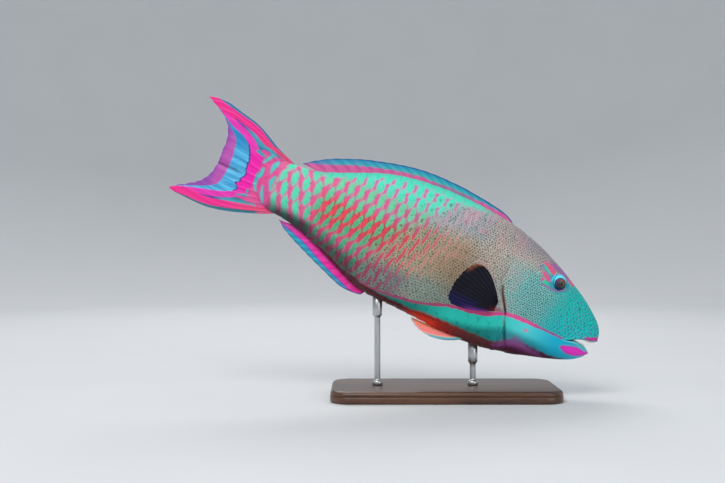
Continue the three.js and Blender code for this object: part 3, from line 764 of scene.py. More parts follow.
# Painted highlight along the lower lip's upper edge
LOWER_LIP_HIGHLIGHT = [
    [(40, -21.4, 0.5), (32, -19.8, 1.2), (24, -19.2, 1.5), (16, -20.8, 1.5), (9, -23.6, 1.0)],
]
CHIN_MAGENTA = [
    [(41.5, -31.3, 0.6), (37, -31, 3.2), (30, -30.6, 5.6), (22, -29.4, 6.2), (14, -27.3, 4.4),
     (7, -25.4, 2.6)],
]
CHIN_SPOT = [[(90, -30, 2.2), (93, -30.3, 2.4)]]
CHIN_PURPLE = [
    [(122, -65, 3), (110, -59, 6), (99, -53, 6.5), (88, -54.5, 7), (75, -57, 7), (62, -57, 6)],
]
# Painted shade in the gill groove
GROOVE_PAINTED_SHADE = [
    [(143, 13, 0.5), (142, 9, 1.0), (139, 2, 1.4), (135, -4.5, 1.6), (130.5, -11.5, 1.5),
     (126.3, -18.5, 1.2), (124.5, -22, 0.6)],
]
# Painted highlight just behind the gill cover's edge
GROOVE_HIGHLIGHT = [
    [(147, 34, 0.4), (147.5, 24, 0.8), (146, 14, 0.9), (143, 6, 0.8), (138.5, -3, 1.4),
     (134, -10.5, 1.8), (130, -17.5, 1.2)],
    [(126.5, -23, 0.7), (124, -29.5, 1.0), (121.5, -36, 0.5)],
]
GROOVE_SHADE = [
    [(121.5, -31, 0.5), (118, -39, 1.2), (113.5, -49, 1.8), (108.5, -58, 2.0), (103, -66, 1.6)],
]
FIN_FLUSH = [[(158, -30, 1.2), (150, -25, 2.6), (141, -21.5, 2.8), (133, -20, 1.6)]]

# Where the scale pattern stands clear of the fine spots, by height
CLEAR_FROM = profile([
    (-70, 335), (-45, 335), (-20, 328), (0, 318), (20, 305), (40, 292), (58, 280), (70, 270), (80, 262),
    (88, 250), (95, 225),
])
SCALE_COUNT = profile([
    (120, 24.2), (288, 13.0), (376, 7.0), (404, 5.0), (453, 2.0), (485, 0.0), (520, -2.2),
])
SCALE_PITCH = 15.2
ROW_HEIGHT = 17.9
ROW_SLANT = profile([
    (-5, -7), (-3, -6.2), (-2, -5.7), (-1, -2.2), (0, 1.5), (1, 3.3), (2, 4.2), (2.8, 3.2),
    (3.6, 1.4), (5, 0),
])
STALK_TEAL = [
    [(500.5, 30, 0.8), (497, 35, 1.7), (494, 40, 1.9), (492, 44, 1.9), (494, 47.5, 1.5)],
    [(497, 23, 1.4), (496.3, 16, 2.5), (499, 10, 2.0), (500, 4, 1.9), (498, -2, 1.7), (494, -8, 1.0)],
    [(488.5, 2, 0.9), (486.5, -5, 1.6), (483.5, -12, 1.9), (480, -18.5, 1.4)],
    [(481.5, 39, 1.3), (484, 32, 3.2), (485.5, 26, 1.8), (485, 20, 0.6)],
    [(478, 19, 1.2), (480, 12, 2.8), (478.5, 5, 1.6), (476.5, -1, 0.6)],
]
DOT_PITCH = profile([
    (0, 5.6), (45, 5.2), (60, 4.4), (80, 3.3), (102, 3.15), (118, 3.45), (150, 3.6), (185, 3.9),
    (215, 3.9),
    (250, 4.3), (290, 5.0), (500, 5.0),
])
DOT_COUNT_S = np.arange(0, BODY_LENGTH + 1)
DOT_COUNT = running(1 / DOT_PITCH(DOT_COUNT_S[1:] - 0.5))
# The two sides are painted from places this far apart, so their fine patterns differ
SIDES_APART = 50.0
UV_SPAN = 520.0


def slant(row, s):
    """How far ahead of the even lattice a row of scales lies, in steps of the lattice."""
    return ROW_SLANT(row) * ease(s, 425, 388) / SCALE_PITCH


def markings(points, where, side, within=None):
    """The arrays that skin, scales and orbits are painted from, for (s, y, z) rows of either side."""
    seen = seen_from_the_side(points)
    s, z = seen.T
    way = girth(where[:, 0], where[:, 1])
    shaded = np.zeros(len(points)) if within is None else within
    lattice_row = way / ROW_HEIGHT
    dots = np.interp(where[:, 0], DOT_COUNT_S, DOT_COUNT)
    return {
        "seen": rows(s, z, side),
        "lie": rows(where[:, 0], way, side * SIDES_APART),
        "lattice": rows(SCALE_COUNT(s) - slant(lattice_row, s), lattice_row, s - CLEAR_FROM(z)),
        # The third number of dots is the painted shade inside the mouth
        "dots": rows(dots, way / DOT_PITCH(where[:, 0]), shaded),
        "belt": rows(stroke(seen, PINK_STRIPE), STRIPE_LINE(s) - z, BAND_FOOT(s) - z),
        "face": stroke_rows(seen, EYE_PINK, EYE_TEAL, EYE_MAUVE),
        "lips": stroke_rows(seen, UPPER_LIP_PINK, LOWER_LIP_HIGHLIGHT, CHIN_MAGENTA),
        "chin": stroke_rows(seen, FIN_FLUSH, CHIN_SPOT, CHIN_PURPLE),
        "groove": stroke_rows(seen, GROOVE_PAINTED_SHADE, GROOVE_HIGHLIGHT, GROOVE_SHADE),
        "ridge": rows(back(s) - z, strokes(seen, EYE_GREEN), strokes(seen, STALK_TEAL)),
        "ring": strokes(seen, EYE_RING_AND_HIGHLIGHT),
    }


def bake_uv(where, side):
    """The skin laid out flat, its left side over its right."""
    way = girth(where[:, 0], where[:, 1])
    return np.stack([0.01 + where[:, 0] / UV_SPAN, 0.5 + side * 0.25 + way / UV_SPAN], -1)


def dot_distance(p, across, up):
    """How far a place is from the nearest dot of a staggered lattice, in steps of the lattice."""
    tall = math.sqrt(3)
    found = []
    for shift in (0.0, 0.5):
        x = (across + shift).off_centre()
        y = (up / tall + shift).off_centre() * tall
        found.append(p.math("SQRT", x * x + y * y))
    return found[0].least(found[1])


def scale_pattern(p, count, row, s, z, warp, slim, clear):
    """Drops in staggered rows, the bars and glints between them and the middles of pairs of dots.

    A drop's or a bar's number is 1 at its edge and smaller inside. A glint is 1 inside.
    """
    stalk = s.eased(404, 440)
    top = z.eased(46, 70) * (1 - stalk)
    half_drop = top * 0.9 + z.eased(38, 56).most(stalk) * 0.6 + 3.15
    middle = z.eased(20, 40) * z.eased(84, 66) * (1 - stalk)
    half_bar = (top * -0.3 - middle * 0.55 + 3.1) * slim * (warp[2] * 0.8 + 0.6)
    fan = (z - 9).least(0) * 0.018 - z.eased(9, 24) * 0.17
    fan = fan + z.eased(30, 44) * s.eased(446, 466) * 0.6 + z.eased(9, 24) * s.eased(458, 476) * 0.4
    fan = fan * stalk
    drops, bars, pairs, glints = [], [], [], []
    for shift_count, shift_row in ((0.5, 0.0), (0.0, 0.5)):
        up = ((row + (warp[1] - 0.5) * 0.3) * 0.5 + shift_row).off_centre() * 2 * ROW_HEIGHT
        low = (up * (-1 / 9)).most(0)
        lean = up * (fan + 0.05) - low * low * 1.5 * (1 - stalk) * s.eased(296, 340)
        at = count + (warp[0] - 0.5) * 0.34 - lean / SCALE_PITCH + shift_count
        along = at.off_centre() * SCALE_PITCH
        rise = up
        across, up = along.size(), up.size()
        drops.append((across / half_drop + (up / 10.5) ** 2.2) ** 2)
        half_length = top * 1.4 + clear.eased(14, -18) * 2.2 + 11.4
        bars.append((((across - SCALE_PITCH / 2) / half_bar).size() + (up / half_length) ** 3) ** 2)
        off_pair = up - clear.eased(-4, -26) * 4.0
        pairs.append(p.math("SQRT", across * across + off_pair * off_pair))
        line = (along - SCALE_PITCH / 2 + 3.4 + rise * 0.25).size().eased(1.3, 0.4)
        glints.append(line * rise.eased(2, -2) * rise.eased(-11, -8))
    ragged = (warp[2] - 0.5) * 0.5
    drop, bar = drops[0].least(drops[1]) + ragged, bars[0].least(bars[1]) + ragged
    return drop, bar, pairs[0].least(pairs[1]), glints[0].most(glints[1])


def tail_root(p, colour, s, stalk_teal, wander, patchy):
    """The last of the scale pattern, which runs from the stalk out onto the tail."""
    pink = p.coats(
        (216, 84, 148),
        (patchy.eased(0.35, 0.65), (232, 76, 146)),
        (patchy.eased(0.56, 0.7) * 0.5, (150, 126, 166)),
    )
    drawn = p.coats(
        pink,
        ((stalk_teal + wander * 1.1).eased(2.2, 0.6) * 0.5, (140, 130, 176)),
        ((stalk_teal + wander * 1.1).eased(0.9, -0.7), (82, 190, 188)),
    )
    return p.mix((s + wander * 3).eased(468, 480) * s.eased(505, 498), colour, drawn)


# The gloss of skin and fins
WET = {"Specular_IOR_Level": 0.16, "Coat_Weight": 0.04, "Coat_Roughness": 0.22}


def skin_paint():
    p = Paint("skin_paint", **WET)
    lie = p.attribute("lie")
    lie_s, lie_way, lie_side = p.parts(lie)
    s, z, _ = p.three("seen")
    count, row, clear = p.three("lattice")
    dot_across, dot_up, within = p.three("dots")
    stripe, below, foot = p.three("belt")
    eye_pink, eye_teal, eye_mauve = p.three("face")
    lip_pink, lip_highlight, magenta = p.three("lips")
    flush, spot, purple = p.three("chin")
    groove_painted_shade, groove_highlight, groove_shade = p.three("groove")
    depth, eye_green, stalk_teal = p.three("ridge")
    rough = p.noise(lie, 0.05, 3)
    patchy = p.noise(lie, 0.13, 2)
    patchy_too = p.noise(p.vector(lie_s + 80, lie_way, lie_side), 0.13, 2)
    lumpy = p.noise(lie, 0.3, 1)
    grain = p.noise(lie, 0.6, 2)
    wander = (patchy - 0.5) * 2
    mottle = (grain - 0.5) * 2

    # Fine dark dots in a pale net: teal on the cheek, grey above, tan and gold behind the pectoral fin
    jitter = p.noise(p.vector(lie_s, lie_way + 30, lie_side), 0.16, 1)
    jitter_too = p.noise(p.vector(lie_s, lie_way + 60, lie_side), 0.16, 1)
    dot = dot_distance(p, dot_across + jitter * 1.5, dot_up + jitter_too * 1.5) + mottle * 0.06
    cheek = (s + wander * 10).eased(168, 116) * (z + wander * 6).eased(64, 34)
    golden = (s + wander * 8).eased(172, 212) * s.eased(300, 246)
    golden = golden * (z + wander * 6).eased(-36, 2) * (z + wander * 6).eased(62, 32)
    low = (z + wander * 8).eased(8, -28) * s.eased(150, 185)
    nape = z.eased(46, 80) * s.eased(205, 125)
    net = p.coats(
        (192, 182, 170),
        (nape, (158, 154, 160)),
        (z.eased(38, 66) * s.eased(165, 200), (154, 168, 170)),
        (low * 0.85, (134, 156, 144)),
        (golden * 0.85, (164, 142, 110)),
        (cheek, (128, 192, 188)),
    )
    dots = p.coats(
        (98, 88, 82),
        (cheek, (50, 98, 100)),
        (low * 0.85, (60, 74, 70)),
        (golden * 0.85, (96, 74, 56)),
        (nape * 0.7, (88, 78, 88)),
    )
    rosy = rough.eased(0.47, 0.58) * s.eased(176, 200) * z.eased(30, 56) * 0.8
    dots = p.mix(rosy * 0.4, dots, (192, 88, 132))
    net = p.mix(rosy * 0.35, net, (208, 164, 184))
    soft = s.eased(180, 230) * 0.15 + s.eased(90, 130) * 0.22
    colour = p.mix(dot.eased(0.44, 0.24) * (1 - soft), net, dots)
    warm = rough.eased(0.5, 0.66) * s.eased(100, 140)
    colour = p.mix(warm * 0.22, colour, (204, 142, 146))

    # Where the scale pattern breaks up: pairs of dark red dots in pale rings, with thin bright bars
    slim = clear.eased(-66, 46) * 0.45 + 0.55
    warp = (patchy, patchy_too, lumpy)
    drop, bar_near, pair, glint = scale_pattern(p, count, row, s, z, warp, slim, clear)
    red = z.eased(37, 18) * z.eased(-30, -4) * s.eased(428, 396)
    off_side = z.eased(34, 56)
    # Low on the side the scale pattern is darker, partly its own colour and partly painted shade
    lower_tone_and_shade = z.eased(-16, -38)
    near_drop = drop.eased(4.2, 2.6)
    ground = p.coats(
        (166, 122, 120),
        (red * 0.8, (164, 90, 80)),
        (near_drop * 0.8, (116, 142, 114)),
        (patchy_too.eased(0.5, 0.6) * near_drop * clear.eased(-64, -30) * 0.8, (84, 168, 128)),
        (off_side, (142, 156, 158)),
        (lower_tone_and_shade, (116, 98, 106)),
    )
    loop = p.coats(
        (182, 178, 148),
        (clear.eased(-72, -46), (164, 166, 136)),
        (off_side, (172, 178, 180)),
        (lower_tone_and_shade, (124, 150, 142)),
    )
    core = p.coats(
        (132, 62, 58),
        (off_side, (112, 100, 108)),
        (lower_tone_and_shade, (106, 72, 88)),
    )
    fine_ring = p.coats(
        core,
        (dot.eased(0.22, 0.32), loop),
        (dot.eased(0.38, 0.47), ground),
    )
    coarse = (clear + wander * 8 - off_side * 40).eased(-80, -46)
    edge = pair + (lumpy - 0.5) * 2.2
    netted = p.mix(0.85, ground, fine_ring)
    coarse_ring = p.coats(
        core,
        (edge.eased(1.2, 2.0), loop),
        (edge.eased(2.6, 3.3), netted),
        (edge.eased(0.9, 0.3) * 0.5, (84, 60, 52)),
    )
    breaking = (clear + wander * 12 - off_side * 38).eased(-84, -56)
    colour = p.mix(breaking * 0.92, colour, p.mix(coarse, fine_ring, coarse_ring))

    # The scale pattern
    stalk = s.eased(404, 440)
    top = z.eased(46, 70) * (1 - stalk)
    # Towards the belly the teal, bars and gaps are darker, partly their own colour and partly painted shade,
    # darkest at the lowest bars
    low = z.eased(-12, -40) * (1 - stalk)
    # Painted shade: the lower side darkens towards the belly from the anal fin back
    belly_shade = (foot + 26).eased(0, 22) * s.eased(318, 345)
    teal = p.coats(
        (84, 180, 134),
        (top, (70, 222, 190)),
        (z.eased(-4, 36) * (1 - top) * 0.8, (110, 212, 162)),
        (low, (58, 150, 118)),
        (stalk, (86, 218, 178)),
    )
    heart = p.mix(0.5, teal, (74, 116, 80))
    teal = p.coats(
        teal,
        (red * drop.eased(0.75, 0.1) * 0.5, heart),
        (lumpy.eased(0.5, 0.8) * 0.5, (150, 214, 186)),
    )
    bar = p.coats(
        (222, 90, 144),
        (red, (232, 68, 84)),
        (s.eased(340, 300) * (1 - red) * 0.6, (186, 88, 132)),
        (z.eased(4, -12) * red * 0.65, (208, 56, 108)),
        (top, (204, 104, 164)),
        (low, (178, 62, 104)),
        (z.eased(-32, -44) * s.eased(345, 325), (132, 50, 92)),
        (stalk, (220, 96, 150)),
        (grain.eased(0.5, 0.75) * 0.3, (240, 150, 172)),
        (clear.eased(40, -20) * 0.45, p.mix(off_side, (176, 56, 72), ground)),
    )
    between = p.coats(
        (172, 134, 152),
        (red, (158, 82, 74)),
        (top, (120, 196, 186)),
        (low, (126, 72, 90)),
        (stalk, (176, 146, 164)),
    )
    outline = p.coats(
        (160, 172, 166),
        (red, (154, 146, 116)),
        (top, (150, 200, 188)),
        (low, (122, 134, 120)),
        (stalk, (156, 180, 178)),
    )
    pattern = p.coats(
        between,
        (bar_near.eased(1.5, 0.7), bar),
        (drop.eased(2.3, 1.35) * 0.75, outline),
        (glint * (red * -0.16 + 0.28), (232, 202, 200)),
        (drop.eased(1.2, 0.75), teal),
    )
    paired = clear.eased(34, -10)
    pattern = p.mix(edge.eased(2.3, 1.3) * paired * 0.75, pattern, core)
    clear_edge = (clear + wander * 12 + off_side * 10).eased(-24, 6)
    thin = (clear + wander * 10 - off_side * 14).eased(-100, -56)
    lit = p.coats(
        (206, 78, 92),
        (off_side, (196, 112, 152)),
        (lower_tone_and_shade, (150, 78, 108)),
        (clear.eased(-64, -30), bar),
    )
    # Painted highlight on the scale rims beside the thin bars
    bar_highlight = p.mix(off_side, (220, 176, 162), (196, 186, 192))
    whole = (clear - off_side * 26).eased(-66, -40)
    speck = dot.eased(0.48, 0.30) * (1 - whole) + whole
    colour = p.coats(
        colour,
        (drop.eased(3.0, 5.0) * thin * whole * red * 0.4, (186, 82, 78)),
        (bar_near.eased(3.4, 1.6) * thin * (1 - lower_tone_and_shade) * 0.45, bar_highlight),
        (bar_near.eased(1.7, 0.7) * thin * (whole * 0.15 + 0.75) * speck, lit),
        (clear_edge, pattern),
        (belly_shade * 0.7, (56, 32, 46)),
        # Painted shadow on the underside of the tail stalk
        ((z + wander * 2).eased(-12, -24) * s.eased(398, 418) * s.eased(472, 456) * 0.8, (34, 40, 44)),
    )

    # Along the back a row of bright teal blocks with dark seams
    seam = (count + wander * 0.05).off_centre().size().eased(0.40, 0.47)
    crest = (depth + mottle * 1.2 + wander * 2.5).eased(9.5, 5.0) * s.eased(186, 230) * s.eased(440, 410)
    crest_teal = p.mix(seam * 0.28, (78, 216, 186), (64, 160, 146))
    colour = p.mix(crest * 0.92, colour, crest_teal)
    colour = tail_root(p, colour, s, stalk_teal, wander, patchy)

    # The snout is plain teal with small grey dots, each with a painted shadow beside it
    snout = (s + (z - 10) * 0.15 + wander * 9).eased(92, 56)
    snout_teal = p.mix(z.eased(-15, 30), (14, 190, 188), (0, 186, 170))
    dot_shadow = dot_distance(p, dot_across + jitter * 1.5 + 0.22, dot_up + jitter_too * 1.5)
    snout_teal = p.coats(
        snout_teal,
        (dot_shadow.eased(0.42, 0.20) * 0.7, (8, 104, 116)),
        (dot.eased(0.34, 0.16) * 0.62, (98, 158, 194)),
    )
    colour = p.mix(snout, colour, snout_teal)

    # Teal band under the pink stripe, with a painted highlight at the front and painted shade behind and low
    # down, and the dark red belly under that, partly painted shade
    band = p.coats(
        (42, 206, 190),
        # Painted highlight on the band's front half
        (s.eased(140, 90), (88, 220, 222)),
        (s.eased(104, 44), (22, 182, 214)),
        # Painted shade on the band behind and along its lower edge
        (s.eased(185, 245) * 0.75, (22, 100, 92)),
        ((below - 14).eased(0, 12) * s.eased(34, 80) * 0.75,
         p.mix(s.eased(110, 150), (22, 124, 140), (14, 100, 96))),
        (groove_shade.eased(2.0, -1.5) * 0.75, (16, 84, 84)),
    )
    # The belly's dark red is partly painted shade
    under = p.coats(
        (106, 58, 60),
        (s.eased(150, 205), (162, 40, 34)),
        (s.eased(196, 212) * z.eased(-66, -71), (216, 62, 42)),
        (s.eased(228, 262), (86, 34, 42)),
        (s.eased(118, 90), (88, 40, 74)),
        (s.eased(48, 34), (66, 64, 76)),
    )
    violet = (purple + wander * 3 + foot * 0.5).eased(4.5, -2.5) * (foot - 2).eased(5, -1)
    violet = violet * s.eased(118, 100)
    colour = p.coats(
        colour,
        ((below + wander * 1.2).eased(-1.0, 1.0),
         p.mix((foot + wander * 3 + mottle).eased(-2.0, 2.0), band, under)),
        ((purple + wander * 4).eased(4, -3.5) * 0.9, p.mix(foot.eased(4, 12), (152, 80, 144), (98, 46, 84))),
        (violet * 0.6, (120, 96, 150)),
        ((spot + wander).eased(0.9, -0.9) * 0.9, (206, 142, 176)),
        ((flush + wander).eased(1.6, -1.4) * 0.75, (168, 66, 84)),
    )
    stripe_pink = p.coats(
        (196, 68, 126),
        (s.eased(150, 118), (226, 84, 150)),
        (s.eased(92, 70), (164, 84, 148)),
        (s.eased(195, 225) * 0.7, (146, 78, 104)),
    )
    colour = p.coats(
        colour,
        ((stripe + wander * 1.4 + mottle * 0.5).eased(0.8, -0.8), stripe_pink),
        ((magenta + wander * 1.2).eased(1.6, -1.6),
         p.mix(magenta.eased(0, -4), (206, 48, 176), (246, 52, 202))),
        ((lip_pink + wander).eased(0.8, -0.8), (188, 58, 146)),
        # Painted highlight along the lower lip's edge
        ((lip_highlight + wander * 0.6).eased(0.8, -0.8) * 0.7, (112, 204, 216)),
        ((eye_teal + wander * 2.5).eased(2.5, -2.5) * 0.9, (24, 150, 166)),
        ((eye_green + wander).eased(1.6, -1.2) * 0.9, (6, 204, 158)),
        ((eye_mauve + mottle * 1.2 + wander).eased(1.6, -1.8) * 0.8,
         p.mix(s.eased(74, 64), (150, 88, 158), (190, 84, 138))),
        ((eye_pink + wander * 1.4 + mottle * 0.9).eased(1.3, -1.3) * 0.95,
         p.mix(lumpy.eased(0.35, 0.65), (222, 66, 130), (222, 98, 138))),
        # The eye's pale ring on the skin, partly painted highlight
        ((p.number("ring") + mottle * 0.4).eased(1.4, -0.8) * 0.9, (78, 206, 236)),
        # Painted highlight and painted shade along the gill cover's edge
        ((groove_highlight + mottle * 0.4).eased(1.0, -0.8) * 0.6, (216, 180, 170)),
        ((groove_painted_shade + mottle * 0.4).eased(0.9, -0.7) * 0.9, (92, 44, 38)),
        # Painted shade inside the mouth, on the lips' lining and the roof and floor
        (within.eased(0.1, 0.6), (64, 26, 36)),
    )
    p.bump(grain * 0.6 + rough, 0.0004, 0.4)
    return p.finish(colour, grain * 0.15 + 0.36)


def make_body():
    paint = skin_paint()
    points, faces, where, side, within = make_skin()
    painted = markings(points, where, side, within)
    skin = build("skin", points, faces, paint, painted, bake_uv(where, side))
    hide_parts("head", "lower_jaw", "trunk", "tail_stalk")
    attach(skin, "root")
    return paint


# Scales: thin plates that overlap like roof tiles, from the gill cover to the tail
SCALE_ARC = 19.0
SCALE_REAR = 10.2
SCALE_AHEAD = 12.0
SCALE_HALF = 16.0
SCALE_SLOPE = 0.052
SCALE_LIFT = 0.30
SCALE_CROWN = 0.10
SCALE_TOP = 0.45
SCALE_THICK = 0.34
SCALE_UNEVEN = 0.3
SCALE_ALONG = 11
SCALE_AROUND = 12
SCALE_SEED = 20
# A plate is left out where it lies wholly along the keel or shows too little behind the gill cover
EDGE_SHARE = 0.004
LEAST_SHOWING = 7.0
SCALE_ROWS = range(-5, 7)
SCALE_COLUMNS = range(-2, 27)
# The last plates end in the skin just ahead of the tail's root
SCALES_SINK, SCALES_END = 478.0, 494.0
PLACE_ROUNDS = 5
COUNT_S = np.arange(120, 520.5, 0.5)
COUNT_AT = SCALE_COUNT(COUNT_S)
gill_line = profile([(-z, s) for s, z in GILL_EDGE])


def lattice_places(count, row):
    """The (s, share) of places on the body given by the scale pattern's own count and row."""
    seen_s = np.interp(-count, -COUNT_AT, COUNT_S)
    way = row * ROW_HEIGHT
    s = seen_s.copy()
    for _ in range(PLACE_ROUNDS):
        s = np.clip(s, 60, BODY_LENGTH)
        y = surface(s, share_at_girth(s, way))[..., 1]
        scale = CAMERA_AWAY / (CAMERA_AWAY + swing(s) - y)
        seen_s = np.interp(-count - slant(row, seen_s), -COUNT_AT, COUNT_S)
        s = CAMERA_AXIS_S + (seen_s - CAMERA_AXIS_S) / scale
    return s, share_at_girth(s, way)


def scale_plate(n, row, random):
    """One plate's grid of (s, share, height), rear edge first, or None where it has no room."""
    across = np.linspace(-1, 1, SCALE_AROUND + 1)[None, :]
    along = np.linspace(0, 1, SCALE_ALONG + 1)[:, None] ** 1.35
    up = across * SCALE_HALF + 0 * along
    rear = -SCALE_REAR + SCALE_ARC - np.sqrt(SCALE_ARC**2 - up**2)
    rear = rear + random.uniform(-SCALE_UNEVEN, SCALE_UNEVEN)
    ahead = rear + (SCALE_AHEAD - rear) * along
    low = np.maximum(0, -up / 9)
    lean = 0.05 * up - 1.5 * np.minimum(low, 1.2) ** 2
    height = SCALE_LIFT - SCALE_SLOPE * (ahead + SCALE_REAR) + SCALE_CROWN * (1 - (up / SCALE_HALF) ** 2)
    shift = 0.5 if row % 2 == 0 else 0.0
    count = n - shift + (ahead + lean) / SCALE_PITCH
    s, share = lattice_places(count, row + up / ROW_HEIGHT)
    if np.all(share < EDGE_SHARE) or np.all(share > 1 - EDGE_SHARE):
        return None
    share = np.clip(share, 0.0, 1.0)
    z = surface(s, share)[..., 2]
    limit = gill_line(-z) + 1.0
    centre = SCALE_AROUND // 2
    if s[0, centre] < limit[0, centre] + LEAST_SHOWING:
        return None
    sunk = 0.9 * ease(s - limit, 7, 1.5)
    s = np.minimum(np.maximum(s, limit), SCALES_END)
    height = np.minimum(height, SCALE_TOP) - sunk - 0.5 * ease(s, SCALES_SINK, SCALES_END)
    return s, share, height


def make_scales(paint):
    """A coat of scale plates for each side, painted as the skin is."""
    random = np.random.default_rng(SCALE_SEED)
    plates = [scale_plate(n, row, random) for row in SCALE_ROWS for n in SCALE_COLUMNS]
    plates = [plate for plate in plates if plate is not None]
    index = np.arange((SCALE_ALONG + 1) * (SCALE_AROUND + 1)).reshape(SCALE_ALONG + 1, -1)
    each = index.size
    top = grid_faces(SCALE_ALONG + 1, SCALE_AROUND + 1)
    plate_faces = np.vstack([top[:, ::-1], top + each, rim_faces(index, each)])
    for word, side in SIDES.items():
        points, coords, faces = [], [], []
        for k, (s, share, height) in enumerate(plates):
            plain, normal = surface(s, share), surface_normal(s, share)
            for drop in (0.0, SCALE_THICK):
                lifted = plain + normal * (height - drop)[..., None]
                lifted[..., 1] = np.maximum(lifted[..., 1], 0)
                points.append(lifted.reshape(-1, 3))
                coords.append(rows(s, share, 0).reshape(-1, 3))
            faces.append(plate_faces + 2 * k * each)
        points, coords, faces = np.vstack(points), np.vstack(coords), np.vstack(faces)
        points, whole, triangles, kept = welded(points, faces, 0.0005)
        coords = coords[kept]
        if side == RIGHT:
            points = points * (1, -1, 1)
            whole, triangles = whole[:, ::-1], triangles[:, ::-1]
        sides = np.full(len(points), float(side))
        painted = markings(points, coords, sides)
        piece = build(f"scales_{word}", points, [whole, triangles], paint, painted, bake_uv(coords, sides))
        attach(piece, "root")


# Fins: rays as ridges in a membrane
WEB_SHARE = 0.42
FORK_SPREAD = 0.23
RIDGE_WIDTH = 0.15
RIDGE_FADE = 0.35
RAY_UNEVEN = 0.012


def bowed(root, bow, tip):
    """A ray from root(t) past bow(t) to tip(t), each giving (s, y, z) rows."""
    def ray(t, v):
        v = v[..., None]
        return (1 - v) ** 2 * root(t) + 2 * v * (1 - v) * bow(t) + v**2 * tip(t)
    return ray


def fin(ray, rays, halves, seed, ripple, across=8, along=30, notch=0.02, split_from=0.45, side=LEFT):
    """A closed, thin fin whose rays stand up on both faces, fork towards the edge and end in a soft comb.

    halves are half its thickness at the root and the tip. Returns its points, its faces and the arrays
    that it is painted from.
    """
    random = np.random.default_rng(seed)
    t = np.linspace(0, 1, (rays - 1) * across + 1)
    at_ray = t * (rays - 1)
    phase = at_ray - np.round(at_ray)
    lengths = 1 - random.uniform(0, RAY_UNEVEN, rays)
    reach = np.interp(at_ray, np.arange(rays), lengths) - notch * (2 * np.abs(phase)) ** 1.5
    big_t = np.repeat(t[:, None], along + 1, 1)
    big_v = reach[:, None] * np.linspace(0, 1, along + 1)[None, :]
    middle = ray(big_t, big_v)
    forked = ease(big_v, split_from, 1.0)
    gap = np.abs(np.abs(phase)[:, None] - FORK_SPREAD * forked)
    ridge = hump(gap, RIDGE_WIDTH) * (1 - RIDGE_FADE * forked)
    half = (halves[0] + (halves[1] - halves[0]) * big_v) * (WEB_SHARE + (1 - WEB_SHARE) * ridge)
    normal = unit(np.cross(np.gradient(middle, axis=1), np.gradient(middle, axis=0)))
    wave = ripple * np.sin(math.pi * 2 * phase)[:, None] * ease(big_v, 0.15, 0.9)
    middle = middle + normal * wave[..., None]
    front, rear = middle + normal * half[..., None], middle - normal * half[..., None]
    index = np.arange(big_t.size).reshape(big_t.shape)
    sheet_faces = grid_faces(*big_t.shape)
    points = np.vstack([front.reshape(-1, 3), rear.reshape(-1, 3)])
    faces = np.vstack([sheet_faces, sheet_faces[:, ::-1] + index.size, rim_faces(index.T, index.size)])
    if side == RIGHT:
        faces = faces[:, ::-1]
    comb = rows(big_t * (rays - 1), big_v, phase[:, None]).reshape(-1, 3)
    attributes = {
        "seen": rows(*seen_from_the_side(points).T, side),
        "comb": np.tile(comb, (2, 1)),
        "ridge": np.tile(ridge.ravel(), 2),
    }
    return points, faces, attributes


def finish_fin(name, made, paint, slot, *nodes):
    points, faces, attributes = made
    ray, along, _ = attributes["comb"].T
    uv = np.stack([0.02 + 0.96 * ray / ray.max(), 0.01 + 0.48 * along], -1)
    uv[len(uv) // 2:, 1] += 0.5
    piece = build(name, points, [faces], paint, attributes, uv)
    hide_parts(*nodes)
    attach(piece, "root")


ROOT_SUNK = 3.0
BOW_AT = 0.42
BOW_OUT = 1.6


def keel_fin(ends, outline, edge, lean, way, rays, seed):
    """A fin along the back, way 1, or the belly, way -1, with its rays leaning back."""
    def at(t, share):
        return ends[0] + (ends[1] - ends[0]) * t + share * lean(t)

    def root(t):
        return rows(at(t, 0), 0, outline(at(t, 0)) - way * ROOT_SUNK)

    def tip(t):
        return rows(at(t, 1), 0, edge(at(t, 1)))

    def bow(t):
        return rows(at(t, BOW_AT), 0, (root(t)[..., 2] + tip(t)[..., 2]) / 2 + way * BOW_OUT)

    return fin(bowed(root, bow, tip), rays, (1.5, 0.4), seed, 0.5)


DORSAL_ENDS = (163, 426)
dorsal_edge = profile([
    (163, 92.5), (180, 100), (200, 104), (225, 107), (250, 109), (275, 109.3), (300, 108),
    (320, 105), (340, 100.5), (360, 95), (380, 89), (400, 81), (420, 72), (440, 60), (452, 50.5),
])
ANAL_ENDS = (307, 427)
anal_edge = profile([
    (307, -74.5), (314, -77.3), (324, -78.5), (336, -78.3), (350, -74.7), (370, -67.3), (390, -60),
    (410, -52), (430, -43.5), (440, -38.5), (451, -30),
])


dorsal_lean = profile([(0, 7), (0.1, 20), (0.5, 28), (0.9, 30), (1, 26)])
anal_lean = profile([(0, 4), (0.15, 15), (0.6, 24), (1, 24)])
# How far the dorsal fin's pink band reaches up from the back, and where the anal fin's blue edge begins
dorsal_band = profile([
    (163, 9), (190, 5), (220, 4), (250, 4.2), (350, 6.2), (400, 11), (430, 10), (452, 6),
])
anal_band = profile([
    (300, -80), (325, -77), (345, -70), (370, -61), (390, -52), (410, -43), (430, -37), (445, -33),
    (460, -28),
])


def make_dorsal():
    made = keel_fin(DORSAL_ENDS, back, dorsal_edge, dorsal_lean, 1, 20, 3)
    s, z, _ = made[2]["seen"].T
    made[2]["bands"] = rows(z - back(s) - dorsal_band(s), dorsal_edge(s) - z, z - back(s))
    finish_fin("dorsal_fin_rayed", made, dorsal_paint(), "fin_blue", "dorsal_fin")


def make_anal():
    made = keel_fin(ANAL_ENDS, belly, anal_edge, anal_lean, -1, 12, 5)
    s, z, _ = made[2]["seen"].T
    made[2]["bands"] = rows(anal_band(s) - z, z - anal_edge(s), belly(s) - z)
    finish_fin("anal_fin_rayed", made, anal_paint(), "fin_pink", "anal_fin")


